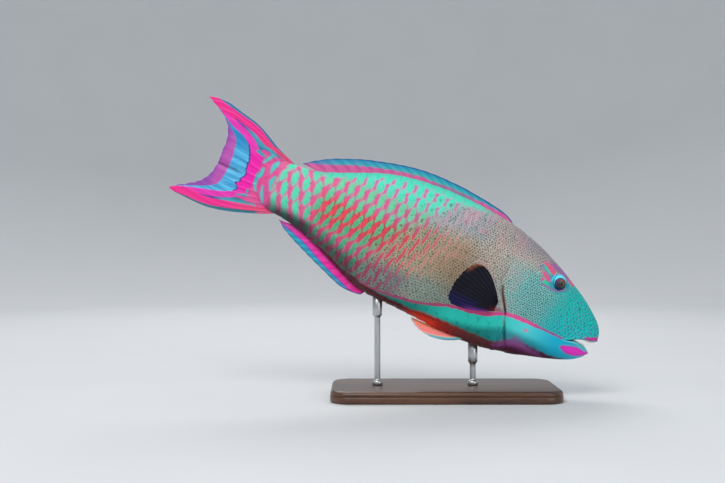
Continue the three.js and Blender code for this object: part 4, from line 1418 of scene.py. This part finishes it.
tail_top = profile([
    (456, 42), (465, 46.5), (480, 52), (490, 56), (500, 61), (510, 66.3), (520, 71), (530, 74.7),
    (540, 77.2), (550, 79.2), (562, 82), (577, 85), (590, 85), (599, 83.5), (606, 81.5),
])
tail_foot = profile([
    (456, -23), (465, -28.5), (475, -33), (490, -38.5), (505, -44), (520, -48.7), (535, -52.2),
    (550, -54.3), (565, -54.6), (580, -54), (592, -53.8), (600, -52.6), (605, -50.5),
])
tail_tip_s = profile([
    (0, 606), (0.06, 598), (0.12, 587), (0.18, 575), (0.25, 565), (0.32, 560.5), (0.4, 558),
    (0.5, 557.5), (0.6, 559), (0.68, 562.5), (0.76, 569), (0.83, 577), (0.9, 588), (0.96, 598),
    (1, 605),
])
tail_tip_z = profile([
    (0, 81.5), (0.06, 77.5), (0.12, 72), (0.18, 65.5), (0.25, 55.5), (0.32, 44.5), (0.4, 30.5),
    (0.5, 10), (0.6, -6), (0.68, -16), (0.76, -25), (0.83, -31.5), (0.9, -38.5), (0.96, -44.5),
    (1, -50.5),
])
TAIL_ROOT_S = 456.0
UPPER_TIP_S, LOWER_TIP_S = 606, 605
# The tail's middle ray, from (s, z) at its root
MIDDLE_ROOT, MIDDLE_TIP_S = (492, 9), 557.5
ROOT_BULGE = 10


def tail_edge(upper, v):
    s = TAIL_ROOT_S + (np.where(upper, UPPER_TIP_S, LOWER_TIP_S) - TAIL_ROOT_S) * v
    return rows(s, 0, np.where(upper, tail_top(s), tail_foot(s)))


def middle_ray(v):
    return rows(MIDDLE_ROOT[0] + (MIDDLE_TIP_S - MIDDLE_ROOT[0]) * v, 0, MIDDLE_ROOT[1] + v)


def tail_ray(t, v):
    """The tail's middle surface, drawn between its upper or lower edge and its straight middle ray."""
    upper = t < 0.5
    w = 2 * np.abs(t - 0.5)[..., None]
    zero, one = np.zeros_like(v), np.ones_like(v)
    angle = np.abs(t - 0.5) * math.pi
    reach = (np.sin(angle) ** 0.9)[..., None]
    root = middle_ray(zero) * (1 - reach) + tail_edge(upper, zero) * reach
    root = root + rows(ROOT_BULGE * np.sin(2 * angle), 0, 0)
    tip = rows(tail_tip_s(t), 0, tail_tip_z(t))
    between, near, far = (tail_edge(upper, u) * w + middle_ray(u) * (1 - w) for u in (v, zero, one))
    v = v[..., None]
    return between + root * (1 - v) + tip * v - near * (1 - v) - far * v


TAIL_PINK = [
    [(468, 46.5, 1.6), (480, 48.8, 2.0), (490, 51.3, 3.0), (500, 53.8, 3.6), (510, 58.2, 4.6),
     (520, 63.0, 5.2),
     (530, 66.6, 5.4), (540, 68.8, 5.3), (550, 70.8, 5.3), (560, 72.6, 5.4), (570, 74.6, 5.3),
     (580, 76.8, 5.2),
     (590, 79.3, 4.8), (600, 81.6, 3.6), (608, 82.8, 2.5)],
    [(462, -22, 1.5), (475, -25.5, 3.4), (490, -30.3, 4.4), (505, -34.8, 4.7), (520, -39.2, 5.0),
     (535, -43.6, 4.7),
     (550, -46.3, 4.9), (565, -46.6, 5.2), (580, -47.0, 5.0), (592, -48.8, 4.4), (602, -50.3, 3.2),
     (608, -51, 2.4)],
]
TAIL_MAGENTA = [
    [(517, 42, 5.0), (524, 48, 5.0), (534, 54.4, 4.4), (545, 58.6, 4.2), (555, 62.2, 4.2),
     (565, 66.4, 3.8), (576, 71, 3)],
    [(512, -19, 4.0), (524, -26.5, 4.2), (538, -32.3, 4.2), (552, -36.3, 4.3), (565, -39.5, 3.6),
     (580, -43.0, 2.6), (590, -46, 2)],
    [(506, 44.3, 2.3), (499, 44.0, 2.0)],
    [(497, -23.5, 1.6), (505, -23.2, 2.2), (514, -24.6, 1.6)],
]
TAIL_TEAL = [
    [(486, 42, 1.5), (491, 46.5, 2.2), (498, 49.0, 1.8), (508, 49.6, 2.0), (516, 52.6, 2.7),
     (524, 57.2, 2.8),
     (532, 60.6, 2.1), (541, 63.2, 1.8), (550, 65.7, 1.2), (558, 68.6, 0.5)],
    [(492, 45, 1.8), (496, 40, 2.0), (503, 38.8, 1.9), (511, 41, 1.9), (515, 41.5, 0.8)],
    [(501, 31, 1.0), (499, 36, 1.8), (494, 44, 2.0)],
    [(497, 22, 2.0), (499, 16, 2.6), (500.5, 9, 2.0), (499, 1, 2.0), (495.5, -7, 1.8), (493, -11, 0.8)],
    [(504.5, -12, 2.0), (504, -14, 1.4)],
    [(516, -23.2, 0.6), (509, -20.4, 1.5), (502, -18.4, 1.9), (495, -19.6, 2.0), (490, -24, 2.0),
     (486.5, -27, 0.8)],
    [(486, -25.5, 0.8), (493, -26.8, 1.5), (503, -28.6, 1.8), (513, -31, 2.2), (523, -33.2, 2.2),
     (533, -36.2, 1.8),
     (543, -39, 1.5), (553, -41.3, 0.9), (560, -42.5, 0.4)],
]
TAIL_HOT = [
    [(518, 40, 4.2), (512, 34, 6.0), (509.5, 26, 7.4), (509, 14, 7.2), (509, 4, 7.2),
     (510, -5, 8.0), (512, -11, 8.0), (513, -17, 5.0)],
]
hot_edge = profile([
    (-30, 522), (-19, 520), (-15.5, 516.5), (-12, 519), (-8, 523), (-5, 517.5), (-1, 518.5),
    (3, 515), (9, 514.5),
    (15, 517), (24, 517.5), (33, 520.5), (42, 525), (50, 532), (58, 548), (66, 562), (72, 577),
    (80, 600),
])
sky_edge = profile([
    (-52, 606), (-44, 592), (-36, 574), (-30, 560), (-24, 549), (-18, 543.5), (-8, 541), (8, 540),
    (20, 540.5),
    (32, 542.5), (42, 545), (50, 552), (56, 560), (62, 568), (70, 582), (80, 606),
])


# The lower and upper bounds of the tail's inner part
inner_low = profile([(500, -21), (515, -22), (530, -29), (545, -34), (560, -38.2), (575, -41.5), (606, -48)])
inner_high = profile([(500, 40), (515, 42), (530, 52), (545, 58.6), (560, 64.4), (575, 70.5), (606, 81)])
CREASE_DEEP, CREASE_Z, CREASE_WIDTH = 2.2, 6, 4.5


def make_tail():
    points, faces, attributes = fin(tail_ray, 15, (1.9, 0.45), 7, 0.25, across=14, along=64, notch=0.008)
    seen = attributes["seen"][:, :2]
    s, z = seen.T
    attributes["stripes"] = stroke_rows(seen, TAIL_PINK, TAIL_MAGENTA, TAIL_TEAL)
    attributes["sweep"] = rows(strokes(seen, TAIL_HOT), s - hot_edge(z), s - sky_edge(z))
    attributes["inner"] = np.minimum(z - inner_low(s), inner_high(s) - z)
    attributes["stalk"] = strokes(seen, STALK_TEAL)
    points[:, 1] += CREASE_DEEP * hump(z - CREASE_Z, CREASE_WIDTH) * ease(s, 512, 545)
    made = (points, faces, attributes)
    finish_fin("tail_fin_rayed", made, tail_paint(), "fin_pink", "tail_fin_upper", "tail_fin_lower")


# The edges of the paired fins, by share from the first ray to the last
pectoral_tip_s = profile([
    (0, 191), (0.1, 198), (0.28, 207), (0.5, 211.5), (0.7, 213), (0.88, 211), (1, 204),
])
pectoral_tip_z = profile([
    (0, 22.5), (0.1, 21), (0.28, 9.5), (0.5, -6), (0.7, -19.5), (0.88, -31), (1, -37),
])
pelvic_tip_s = profile([(0, 210), (0.3, 222), (0.65, 233), (1, 238)])
pelvic_tip_z = profile([(0, -87.5), (0.3, -86), (0.65, -81.5), (1, -76.5)])
pectoral_base_s = profile([(0, 145.5), (1, 143.5)])
pectoral_base_z = profile([(0, -15), (1, -20.5)])
PECTORAL_Y = float(skin_y(147, -19))


def make_pectoral(word, side, paint):
    def outward(t):
        return 0.92 + (0.5 - 0.92) * t

    def root(t):
        return rows(pectoral_base_s(t) - 2, side * (PECTORAL_Y - 4), pectoral_base_z(t))

    def bow(t):
        return rows(172 + 2 * t, side * (PECTORAL_Y + outward(t) * 27 + 2), 24.5 - 62.5 * t**0.85)

    def tip(t):
        s, z = pectoral_tip_s(t), pectoral_tip_z(t)
        reach = np.hypot(s - pectoral_base_s(t), z - pectoral_base_z(t))
        return rows(s, side * (PECTORAL_Y + outward(t) * reach - 5), z)

    made = fin(bowed(root, bow, tip), 13, (1.5, 0.35), 11, 0.25, across=10, along=40, notch=0.014,
               split_from=0.3, side=side)
    finish_fin(f"pectoral_fin_{word}_rayed", made, paint, "fin_black", f"pectoral_fin_{word}")


def make_pelvic(word, side, paint):
    def root(t):
        return rows(164 + 9 * t, side * (15 - 7 * t), -72)

    def bow(t):
        return rows(186 + 12 * t, side * (24 - 15 * t), -87 + 9 * t)

    def tip(t):
        return rows(pelvic_tip_s(t), side * (30 - 22 * t), pelvic_tip_z(t))

    made = fin(bowed(root, bow, tip), 6, (1.5, 0.35), 13, 0.2, across=12, along=36, side=side)
    finish_fin(f"pelvic_fin_{word}_rayed", made, paint, "fin_orange", f"pelvic_fin_{word}")


class FinPaint(Paint):
    """A rayed fin's paint, with the numbers that every fin is painted from."""

    def __init__(self, name):
        super().__init__(name, **WET)
        self.s, self.z, _ = self.three("seen")
        self.ray, self.v, _ = self.three("comb")
        self.ridge = self.number("ridge")
        self.streak = self.noise(self.vector(self.ray * 3.2, self.v * 1.4), 1.0, 3, 0.6)
        joints = (self.v * 46.0).off_centre().size().eased(0.5, 0.36) * self.v.eased(0.15, 0.4) * self.ridge
        self.bump(joints, 0.00025, 0.4)


def dorsal_paint():
    p = FinPaint("dorsal_paint")
    s, ridge, streak = p.s, p.ridge, p.streak
    band, edge, height = p.three("bands")
    wander = (streak - 0.5) * 2
    teal = p.coats(
        (52, 180, 180),
        (s.eased(250, 400), (62, 166, 186)),
        (s.eased(405, 445), (116, 112, 180)),
        (ridge * 0.35, (32, 128, 156)),
        (streak.eased(0.54, 0.7) * s.eased(280, 360) * edge.eased(2, 6) * 0.7, (196, 92, 160)),
        (edge.eased(7, 3) * 0.6, (44, 138, 184)),
    )
    pink = p.coats(
        (206, 76, 140),
        (streak, (226, 110, 168)),
        (ridge * height.eased(2.5, 5) * 0.55, (168, 66, 140)),
        (s.eased(218, 232) * s.eased(296, 272) * 0.65, (134, 122, 158)),
    )
    colour = p.coats(
        teal,
        ((band + wander * 4.5).eased(1.0, -1.0), pink),
        ((edge + wander * 0.4).eased(2.4, 1.2), (34, 96, 150)),
    )
    return p.finish(colour, streak * 0.12 + 0.36)


def anal_paint():
    p = FinPaint("anal_paint")
    s, ridge, streak = p.s, p.ridge, p.streak
    outer, edge, height = p.three("bands")
    wander = (streak - 0.5) * 2
    magenta = p.coats(
        (248, 46, 160),
        (s.eased(330, 400), (240, 52, 166)),
        (s.eased(416, 440), (190, 70, 160)),
        (streak.eased(0.45, 0.65) * 0.45, (255, 104, 178)),
        (ridge * 0.35, (206, 30, 140)),
        # Painted shade on the fin next to the belly
        (height.eased(3.5, 0.5) * 0.6, (140, 28, 84)),
    )
    blue = p.coats(
        (70, 150, 190),
        (s.eased(330, 380), (44, 164, 190)),
        (ridge * 0.35, (38, 112, 160)),
    )
    inner_edge = outer + wander * 1.6
    colour = p.coats(
        magenta,
        (inner_edge.eased(-0.9, 0.5), p.mix(inner_edge.eased(0.6, 2.2), (112, 92, 186), blue)),
        ((edge + wander * 0.4).eased(1.8, 0.8), (40, 96, 140)),
    )
    return p.finish(colour, streak * 0.12 + 0.36)


def tail_paint():
    p = FinPaint("tail_paint")
    s, z, ridge, streak = p.s, p.z, p.ridge, p.streak
    pink, magenta, teal = p.three("stripes")
    hot, past_hot, past_sky = p.three("sweep")
    inner = p.number("inner")
    patchy = p.noise(p.vector(s, z), 0.14, 2)
    wander = (patchy - 0.5) * 2
    jag = (streak - 0.5) * 4.5
    colour = p.mix(s.eased(484, 500), (206, 96, 140), (214, 62, 150))
    edge_teal = p.mix(z.eased(0, 20), (44, 112, 130), (44, 120, 160))
    colour = p.mix(s.eased(476, 486), colour, p.mix(inner.eased(-3, -1), edge_teal, (200, 60, 150)))
    sky = p.coats(
        (58, 150, 205),
        (streak.eased(0.3, 0.75), (112, 210, 244)),
        (z.eased(26, 46), (48, 140, 196)),
        (ridge * 0.3, (38, 122, 180)),
    )
    purple = p.coats(
        (164, 74, 162),
        (streak, (204, 98, 182)),
        (s.eased(549, 558) * 0.6, (112, 74, 170)),
    )
    within = inner.eased(-0.6, 0.6)
    colour = p.coats(
        colour,
        (within * (past_hot + jag).eased(-0.5, 0.8), sky),
        (within * (past_hot + jag).eased(-0.8, 0.2) * (past_hot + jag).eased(2.4, 1.0), (74, 50, 150)),
        (within * (past_sky + jag * 0.35).eased(-1.6, 1.6), purple),
        ((hot + wander).eased(0.8, -0.8) * (past_hot + jag).eased(0.4, -0.6), (238, 36, 168)),
        ((magenta + wander * 0.8).eased(0.8, -0.8),
         p.mix(s.eased(505, 520), (220, 70, 150), (230, 58, 176))),
        ((pink + wander * 0.8).eased(0.9, -0.9), p.mix(s.eased(480, 530), (230, 74, 120), (238, 48, 142))),
        ((teal + wander * 0.8).eased(0.7, -0.7), p.mix(s.eased(522, 546), (70, 158, 178), (110, 66, 160))),
    )
    root = past_hot.eased(-12, -18) * inner.eased(-8, 0)
    colour = p.mix(root, colour, tail_root(p, colour, s, p.number("stalk"), wander, patchy))
    # Painted shade along the tail's crease
    crease_shade = (z - 6.0 + wander).size().eased(2.4, 0.6) * s.eased(512, 530)
    colour = p.mix(crease_shade * 0.55, colour, (40, 30, 66))
    return p.finish(colour, streak * 0.12 + 0.34)


def pectoral_paint():
    p = FinPaint("pectoral_paint")
    ray, v, ridge, streak = p.ray, p.v, p.ridge, p.streak
    colour = p.mix(streak, (10, 12, 24), (24, 20, 40))
    lower = ray.eased(7.5, 10.5) * v.eased(0.3, 0.6)
    colour = p.mix(lower * 0.75, colour, (30, 26, 84))
    last = ray.eased(10.4, 11.6)
    colour = p.coats(
        colour,
        (last * v.eased(0.12, 0.3) * v.eased(0.8, 0.5), (104, 46, 132)),
        (v.eased(0.24, 0.1) * ray.eased(6, 11) * 0.9, (110, 26, 36)),
    )
    orange = v.eased(0.86, 0.98) * ray.eased(4.2, 1.8) * (streak * 0.6 + 0.5)
    colour = p.mix(orange * 0.85, colour, (170, 104, 66))
    pale = ridge.eased(0.8, 0.98) * v.eased(0.5, 0.85) * ray.eased(4.5, 8.0) * streak.eased(0.42, 0.6)
    colour = p.mix(pale * 0.8, colour, (156, 150, 176))
    return p.finish(colour, streak * 0.12 + 0.4)


def pelvic_paint():
    p = FinPaint("pelvic_paint")
    ray, v, ridge, streak = p.ray, p.v, p.ridge, p.streak
    colour = p.coats(
        (210, 78, 54),
        (v.eased(0.05, 0.4), (255, 148, 152)),
        (ray.eased(2.5, 4.5) * 0.6, (250, 184, 110)),
        (ridge * 0.3, (250, 124, 104)),
        (ray.eased(1.9, 1.2) * 0.7, (250, 206, 150)),
        (ray.eased(1.15, 0.7), (112, 190, 206)),
        (v.eased(0.93, 0.99) * 0.7, (190, 196, 214)),
    )
    return p.finish(colour, streak * 0.12 + 0.38)


def make_fins():
    make_dorsal()
    make_anal()
    make_tail()
    pectoral, pelvic = pectoral_paint(), pelvic_paint()
    for word, side in SIDES.items():
        make_pectoral(word, side, pectoral)
        make_pelvic(word, side, pelvic)


# Eyes and beak
def eye_frame(side):
    """The eye's middle and its axes across, up and outward, in the part's frame, in metres."""
    centre = place([EYE_CENTRE * (1, side, 1)])[0]
    ahead = place([(EYE_CENTRE + EYE_AXIS) * (1, side, 1)])[0]
    out = (ahead - centre) / np.linalg.norm(ahead - centre)
    fish_up = place([(EYE_S, 0, EYE_Z + 1)])[0] - place([(EYE_S, 0, EYE_Z)])[0]
    up = fish_up - out * (fish_up @ out)
    up /= np.linalg.norm(up)
    return centre, np.cross(up, out), up, out


def eye_paint():
    p = Paint("eye_paint", Specular_IOR_Level=0.3, Coat_Weight=0.35, Coat_Roughness=0.03)
    x, y, r = p.three("disc")
    fibres = p.noise(p.vector(p.math("ARCTAN2", y, x) * 4.0, r * 0.35), 1.6, 3)
    uneven = (fibres - 0.5) * 1.4
    ahead = (x + uneven).eased(-1.2, 1.6)
    above = (y + uneven).eased(-2.4, 1.4)
    upper = p.mix(ahead, (112, 56, 96), (124, 72, 28))
    lower = p.mix(ahead, (50, 42, 84), (46, 50, 36))
    iris = p.coats(
        lower,
        (above, upper),
        (fibres.eased(0.55, 0.85) * 0.3, (140, 104, 70)),
        ((r + uneven).eased(5.4, 6.6), (30, 34, 34)),
    )
    colour = p.mix((r + uneven * 0.4).eased(3.6, 2.6), iris, (16, 22, 20))
    # Painted reflection: a greenish gleam in the pupil
    pupil_reflection = p.math("SQRT", (x + 1.2) ** 2 + (y - 0.8) ** 2)
    colour = p.mix(pupil_reflection.eased(1.8, 0.6) * 0.5, colour, (84, 128, 104))
    # The pale ring round the iris, with a painted highlight towards the top and painted shade towards the
    # bottom
    ring_light_side = (y * 0.8 - x * 0.6 + (fibres - 0.5)).eased(-3.5, 2.5)
    ring_lit_and_shaded = p.mix(ring_light_side, (30, 96, 140), (92, 222, 250))
    colour = p.coats(
        colour,
        (r.eased(6.6, 7.0), (22, 32, 48)),
        (r.eased(7.0, 7.5), ring_lit_and_shaded),
    )
    return p.finish(colour, 0.16)


EYE_RINGS, EYE_TURNS = 40, 72
IRIS_RADIUS, IRIS_DEPTH = 6.8, 0.5
PUPIL_RADIUS, PUPIL_RISE = 3.6, 0.35


def make_eyes():
    paint = eye_paint()
    angle = np.linspace(0, 0.62 * math.pi, EYE_RINGS)
    turn = np.linspace(0, 2 * math.pi, EYE_TURNS, endpoint=False)
    r = EYE_RADIUS * np.sin(angle)
    iris = IRIS_DEPTH * ease(r, IRIS_RADIUS + 0.4, IRIS_RADIUS - 0.6)
    h = EYE_RADIUS * np.cos(angle) - iris * (angle < 1) + PUPIL_RISE * ease(r, PUPIL_RADIUS, 0) * (angle < 1)
    x, y = np.outer(r, np.cos(turn)), np.outer(r, np.sin(turn))
    _, faces = ring_faces(EYE_RINGS, EYE_TURNS)
    faces = faces[:, [0, 3, 2, 1]]
    for word, side in SIDES.items():
        centre, across, up, out = eye_frame(side)
        points = centre + MM * (x[..., None] * across + y[..., None] * up + h[:, None, None] * out)
        disc = rows(-side * x, y, r[:, None]).reshape(-1, 3)
        uv = 0.5 + disc[:, :2] / 24
        points = points.reshape(-1, 3)
        ball = build(f"eye_{word}_ball", points, [faces], paint, {"disc": disc}, uv, in_world=True)
        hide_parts(f"eye_{word}")
        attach(ball, "root")


def beak_paint():
    p = Paint("beak_paint", Specular_IOR_Level=0.5, Coat_Weight=0.3, Coat_Roughness=0.15)
    along, down, _ = p.three("plate")
    grooves = p.noise(p.vector(along * 1.1, down * 0.25), 1.2, 3)
    colour = p.coats(
        (196, 204, 186),
        (grooves, (226, 228, 210)),
        (down.eased(0.5, -0.2) * 0.7, (120, 168, 164)),
    )
    p.bump(grooves, 0.0003, 0.5)
    return p.finish(colour, 0.28)


BEAK_END = 30.0
TOOTH_WIDTH = 2.4
# A beak plate's section: (outward, towards the lip) from the lip's edge
BEAK_SECTION = [
    (-2.0, 3.0), (-1.9, 1.2), (-1.9, -0.6), (-2.2, -1.7), (-2.7, -2.6), (-3.2, -2.9), (-3.8, -2.4),
    (-4.3, -0.8), (-4.6, 3.0),
]


def make_beak():
    paint = beak_paint()
    for word, line, way, start in (("upper", UPPER_LIP, 1, 0.0), ("lower", LOWER_LIP, -1, JAW_TIP)):
        s = start + (BEAK_END - start) * np.linspace(0, 1, 40) ** 2
        share = share_at_height(s, line(s))
        if way == -1:
            share[0] = 1.0
        edge = surface(s, share)
        path = np.vstack([edge[::-1] * (1, -1, 1), edge[1:]])
        path_s = np.concatenate([s[::-1], s[1:]])
        normal = unit(level_normal(path))
        run = running(np.linalg.norm(np.diff(path, axis=0), axis=1))
        run -= run[-1] / 2
        taper = ease(path_s, BEAK_END, start + 8)
        teeth = 0.22 * np.abs(np.sin(run * math.pi / TOOTH_WIDTH)) ** 0.6 + 0.25 * ease(np.abs(run), 0.6, 0)
        columns = []
        for out, up in BEAK_SECTION:
            moved = path + normal * (out - 0.12 * teeth * (up < 1))[:, None]
            low = up if up > 0 else up * (0.35 + 0.65 * taper) * (1 - 0.35 * teeth)
            moved[:, 2] += way * low
            columns.append(moved)
        grid = np.stack(columns, 1)
        index, faces = ring_faces(*grid.shape[:2])
        ends = [index[:1, ::-1], index[-1:]]
        if way == -1:
            faces = faces[:, ::-1]
            ends = [end[:, ::-1] for end in ends]
        ups = np.array([up for _, up in BEAK_SECTION])
        plate = rows(run[:, None], -ups[None, :], 0).reshape(-1, 3)
        around = np.linspace(0.05, 0.95, len(BEAK_SECTION))
        uv = np.stack([0.5 + plate[:, 0] / 120, np.tile(around, len(run))], -1)
        piece = build(f"beak_{word}_plate", grid.reshape(-1, 3), [faces, *ends], paint, {"plate": plate}, uv)
        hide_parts(f"beak_{word}")
        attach(piece, "root")


# Stand
def turned(name, outline, centre, paint, sides=64):
    """A solid of revolution about a vertical line, from (radius, height) pairs in metres."""
    turn = np.linspace(0, 2 * math.pi, sides, endpoint=False)
    radius, height = np.array(outline).T
    x = centre[0] + np.outer(radius, np.cos(turn))
    y = centre[1] + np.outer(radius, np.sin(turn))
    z = np.repeat(height[:, None], sides, 1)
    index, faces = ring_faces(len(outline), sides)
    run = running(np.hypot(np.diff(radius), np.diff(height)))
    uv = rows((turn / (2 * math.pi))[None, :], (run / run[-1])[:, None], 0).reshape(-1, 3)[:, :2]
    around = {"around": rows(np.cos(turn)[None, :], np.sin(turn)[None, :], run[:, None]).reshape(-1, 3)}
    points = np.stack([x, y, z], -1).reshape(-1, 3)
    return build(name, points, [faces, index[:1, ::-1], index[-1:]], paint, around, uv, in_world=True)


def rounded_outline(half_length, half_depth, corner, inset):
    """A rectangle with round corners, drawn in by inset, as (x, y) rows."""
    a, b, r = half_length - corner, half_depth - corner, max(corner - inset, 0.0005)
    made = []
    for k, (x, y) in enumerate([(a, b), (-a, b), (-a, -b), (a, -b)]):
        turn = np.linspace(0, math.pi / 2, 17) + k * math.pi / 2
        made.append(np.stack([x + r * np.cos(turn), y + r * np.sin(turn)], -1))
    return np.vstack(made)


def wood_paint():
    p = Paint("wood_paint", Specular_IOR_Level=0.4, Coat_Weight=0.35, Coat_Roughness=0.2)
    x, y, z = p.three("board")
    drift = p.noise(p.vector(x * 5, y * 30, z * 30), 1.0, 3)
    rings = p.noise(p.vector(x * 3.0 + drift, y * 70 + drift * 2, z * 70), 1.0, 4, 0.6)
    pores = p.noise(p.vector(x * 40, y * 900, z * 900), 1.0, 2)
    colour = p.coats(
        (44, 26, 18),
        (rings.eased(0.3, 0.7), (98, 62, 42)),
        (pores.eased(0.58, 0.7) * 0.5, (24, 14, 10)),
    )
    p.bump(pores, 0.0002, 0.3)
    return p.finish(colour, rings * 0.12 + 0.3)


def steel_paint():
    p = Paint("steel_paint", Metallic=1.0)
    cos, sin, along = p.three("around")
    brushed = p.noise(p.vector(cos * 6, sin * 6, along * 5200), 1.0, 2)
    p.bump(brushed, 0.00005, 0.35)
    return p.finish(p.mix(brushed, (176, 178, 180), (206, 207, 208)), brushed * 0.16 + 0.24)


# The board's edge in metres: a rounded foot, a bead and a crown up to the top
BOARD_CORNER = 0.026
FOOT_RADIUS = 0.003
BOARD_BEAD = [
    (0.0, 0.0085), (0.0006, 0.0090), (0.0015, 0.0093), (0.0015, 0.0101), (0.0006, 0.0104),
    (0.0004, 0.0108),
]
CROWN_DEPTH = 0.0052
ROD_RADIUS, COLLAR_RADIUS, PAD_RADIUS = 0.004, 0.007, 0.0064
PAD_HEIGHT = 0.024


def board_outline(top):
    """(inset, height) pairs up the board's edge."""
    foot = [
        (FOOT_RADIUS * (1 - math.sin(a)), FOOT_RADIUS * (1 - math.cos(a)))
        for a in np.linspace(0, math.pi / 2, 7)
    ]
    inset, height = BOARD_BEAD[-1]
    crown = [
        (inset + CROWN_DEPTH * (1 - math.cos(a)), height + (top - height) * math.sin(a))
        for a in np.linspace(0.1, math.pi / 2, 10)
    ]
    return foot + BOARD_BEAD + crown


def rod_outline(low, high):
    """(radius, height) pairs up a rod: its collar, the rod and the pad under the fish."""
    rod, collar, pad, shoulder = ROD_RADIUS, COLLAR_RADIUS, PAD_RADIUS, high - PAD_HEIGHT
    foot = [
        (0.002, low), (collar - 0.0004, low), (collar, low + 0.0005), (collar, low + 0.0044),
        (collar - 0.0008, low + 0.0056), (rod + 0.0008, low + 0.0064), (rod, low + 0.0074),
    ]
    shaft = [(rod, low + 0.008 + (shoulder - low - 0.012) * k / 4) for k in range(5)]
    return foot + shaft + [
        (rod + 0.0004, shoulder - 0.0028), (pad - 0.0005, shoulder - 0.0008), (pad, shoulder),
        (pad, high - 0.001), (pad - 0.0006, high - 0.0006),
    ]


def make_stand():
    low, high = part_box("stand_base")
    half = ((high.x - low.x) / 2, (high.y - low.y) / 2)
    outline = board_outline(high.z)
    rings = [rounded_outline(*half, BOARD_CORNER, inset) for inset, _ in outline]
    points = np.vstack([rows(*ring.T, z) for ring, (_, z) in zip(rings, outline)])
    index, faces = ring_faces(len(rings), len(rings[0]))
    uv = 0.5 + points[:, :2] / 0.32 * (0.9 + 0.1 * points[:, 2:] / high.z)
    solid = [faces, index[:1, ::-1], index[-1:]]
    base = build("stand_base_board", points, solid, wood_paint(), {"board": points}, uv, in_world=True)
    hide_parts("stand_base")
    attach(base, "root")
    steel = steel_paint()
    for word in ("front", "rear"):
        node = f"stand_rod_{word}"
        low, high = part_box(node)
        centre = ((low.x + high.x) / 2, (low.y + high.y) / 2)
        made = turned(f"{node}_steel", rod_outline(low.z, high.z), centre, steel)
        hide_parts(node)
        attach(made, "root")


# Camera, floor and lights
def make_camera():
    data = bpy.data.cameras.new("camera")
    data.sensor_width = SENSOR
    data.lens = SENSOR * CAMERA_AWAY / VIEW_WIDTH
    camera = bpy.data.objects.new("camera", data)
    middle = place([(CAMERA_AXIS_S, 0, CAMERA_AXIS_Z)])[0]
    camera.location = (middle[0], -CAMERA_AWAY * MM, middle[2])
    camera.rotation_euler = (math.pi / 2, 0, 0)
    bpy.context.scene.collection.objects.link(camera)
    bpy.context.scene.camera = camera


FLOOR_RADIUS, BEND, WALL_HEIGHT, FLOOR_TURNS = 3.6, 1.6, 2.6, 96


def make_backdrop():
    """A pale floor that curves up into a wall all the way round, so every view has it."""
    p = Paint("backdrop_paint", Roughness=0.9, Specular_IOR_Level=0.1)
    place_on_it = Value(p, p.node("ShaderNodeTexCoord").outputs["Object"])
    material = p.finish(p.mix(p.noise(place_on_it, 5, 3), (206, 208, 210), (212, 213, 215)))
    bend_angles = np.linspace(0, math.pi / 2, 24)
    outline = [(r, 0.0) for r in (0.02, 0.6, 1.2)]
    outline += [(FLOOR_RADIUS - BEND * (1 - math.sin(a)), BEND * (1 - math.cos(a))) for a in bend_angles]
    outline += [(FLOOR_RADIUS, WALL_HEIGHT)]
    radius, height = np.array(outline).T
    turn = np.linspace(0, 2 * math.pi, FLOOR_TURNS, endpoint=False)
    points = rows(np.outer(radius, np.cos(turn)), np.outer(radius, np.sin(turn)), height[:, None])
    index, faces = ring_faces(len(outline), FLOOR_TURNS)
    backdrop = build("backdrop", points.reshape(-1, 3), [faces, index[:1]], material, in_world=True)


LIGHTS_AIM = (-0.08, 0, 0.2)
WORLD_COLOUR, WORLD_STRENGTH = (0.9, 0.95, 1.0, 1), 0.6
# Each light's name, place, size, power and colour
LIGHTS = [
    ("key", (-0.7, -1.5, 2.0), (1.4, 1.1), 31, (1, 0.985, 0.96)),
    ("fill", (1.4, -1.7, 0.9), (1.4, 1.2), 9, (0.95, 0.98, 1)),
    ("rim", (-0.3, 1.6, 1.9), (1.8, 0.9), 24, (1, 1, 1)),
]


def make_light(name, at, size, power, colour):
    data = bpy.data.lights.new(name, "AREA")
    data.shape = "RECTANGLE"
    data.size, data.size_y = size
    data.energy = power
    data.color = colour
    light = bpy.data.objects.new(name, data)
    light.location = at
    light.rotation_euler = (Vector(LIGHTS_AIM) - Vector(at)).to_track_quat("-Z", "Y").to_euler()
    light.visible_camera = False
    bpy.context.scene.collection.objects.link(light)


def make_lights():
    world = bpy.data.worlds.new("studio")
    world.use_nodes = True
    background = world.node_tree.nodes["Background"]
    background.inputs["Color"].default_value = WORLD_COLOUR
    background.inputs["Strength"].default_value = WORLD_STRENGTH
    bpy.context.scene.world = world
    for light in LIGHTS:
        make_light(*light)


make_camera()
make_backdrop()
make_lights()
make_scales(make_body())
make_fins()
make_eyes()
make_beak()
make_stand()

bpy.context.scene.view_settings.view_transform = "Standard"
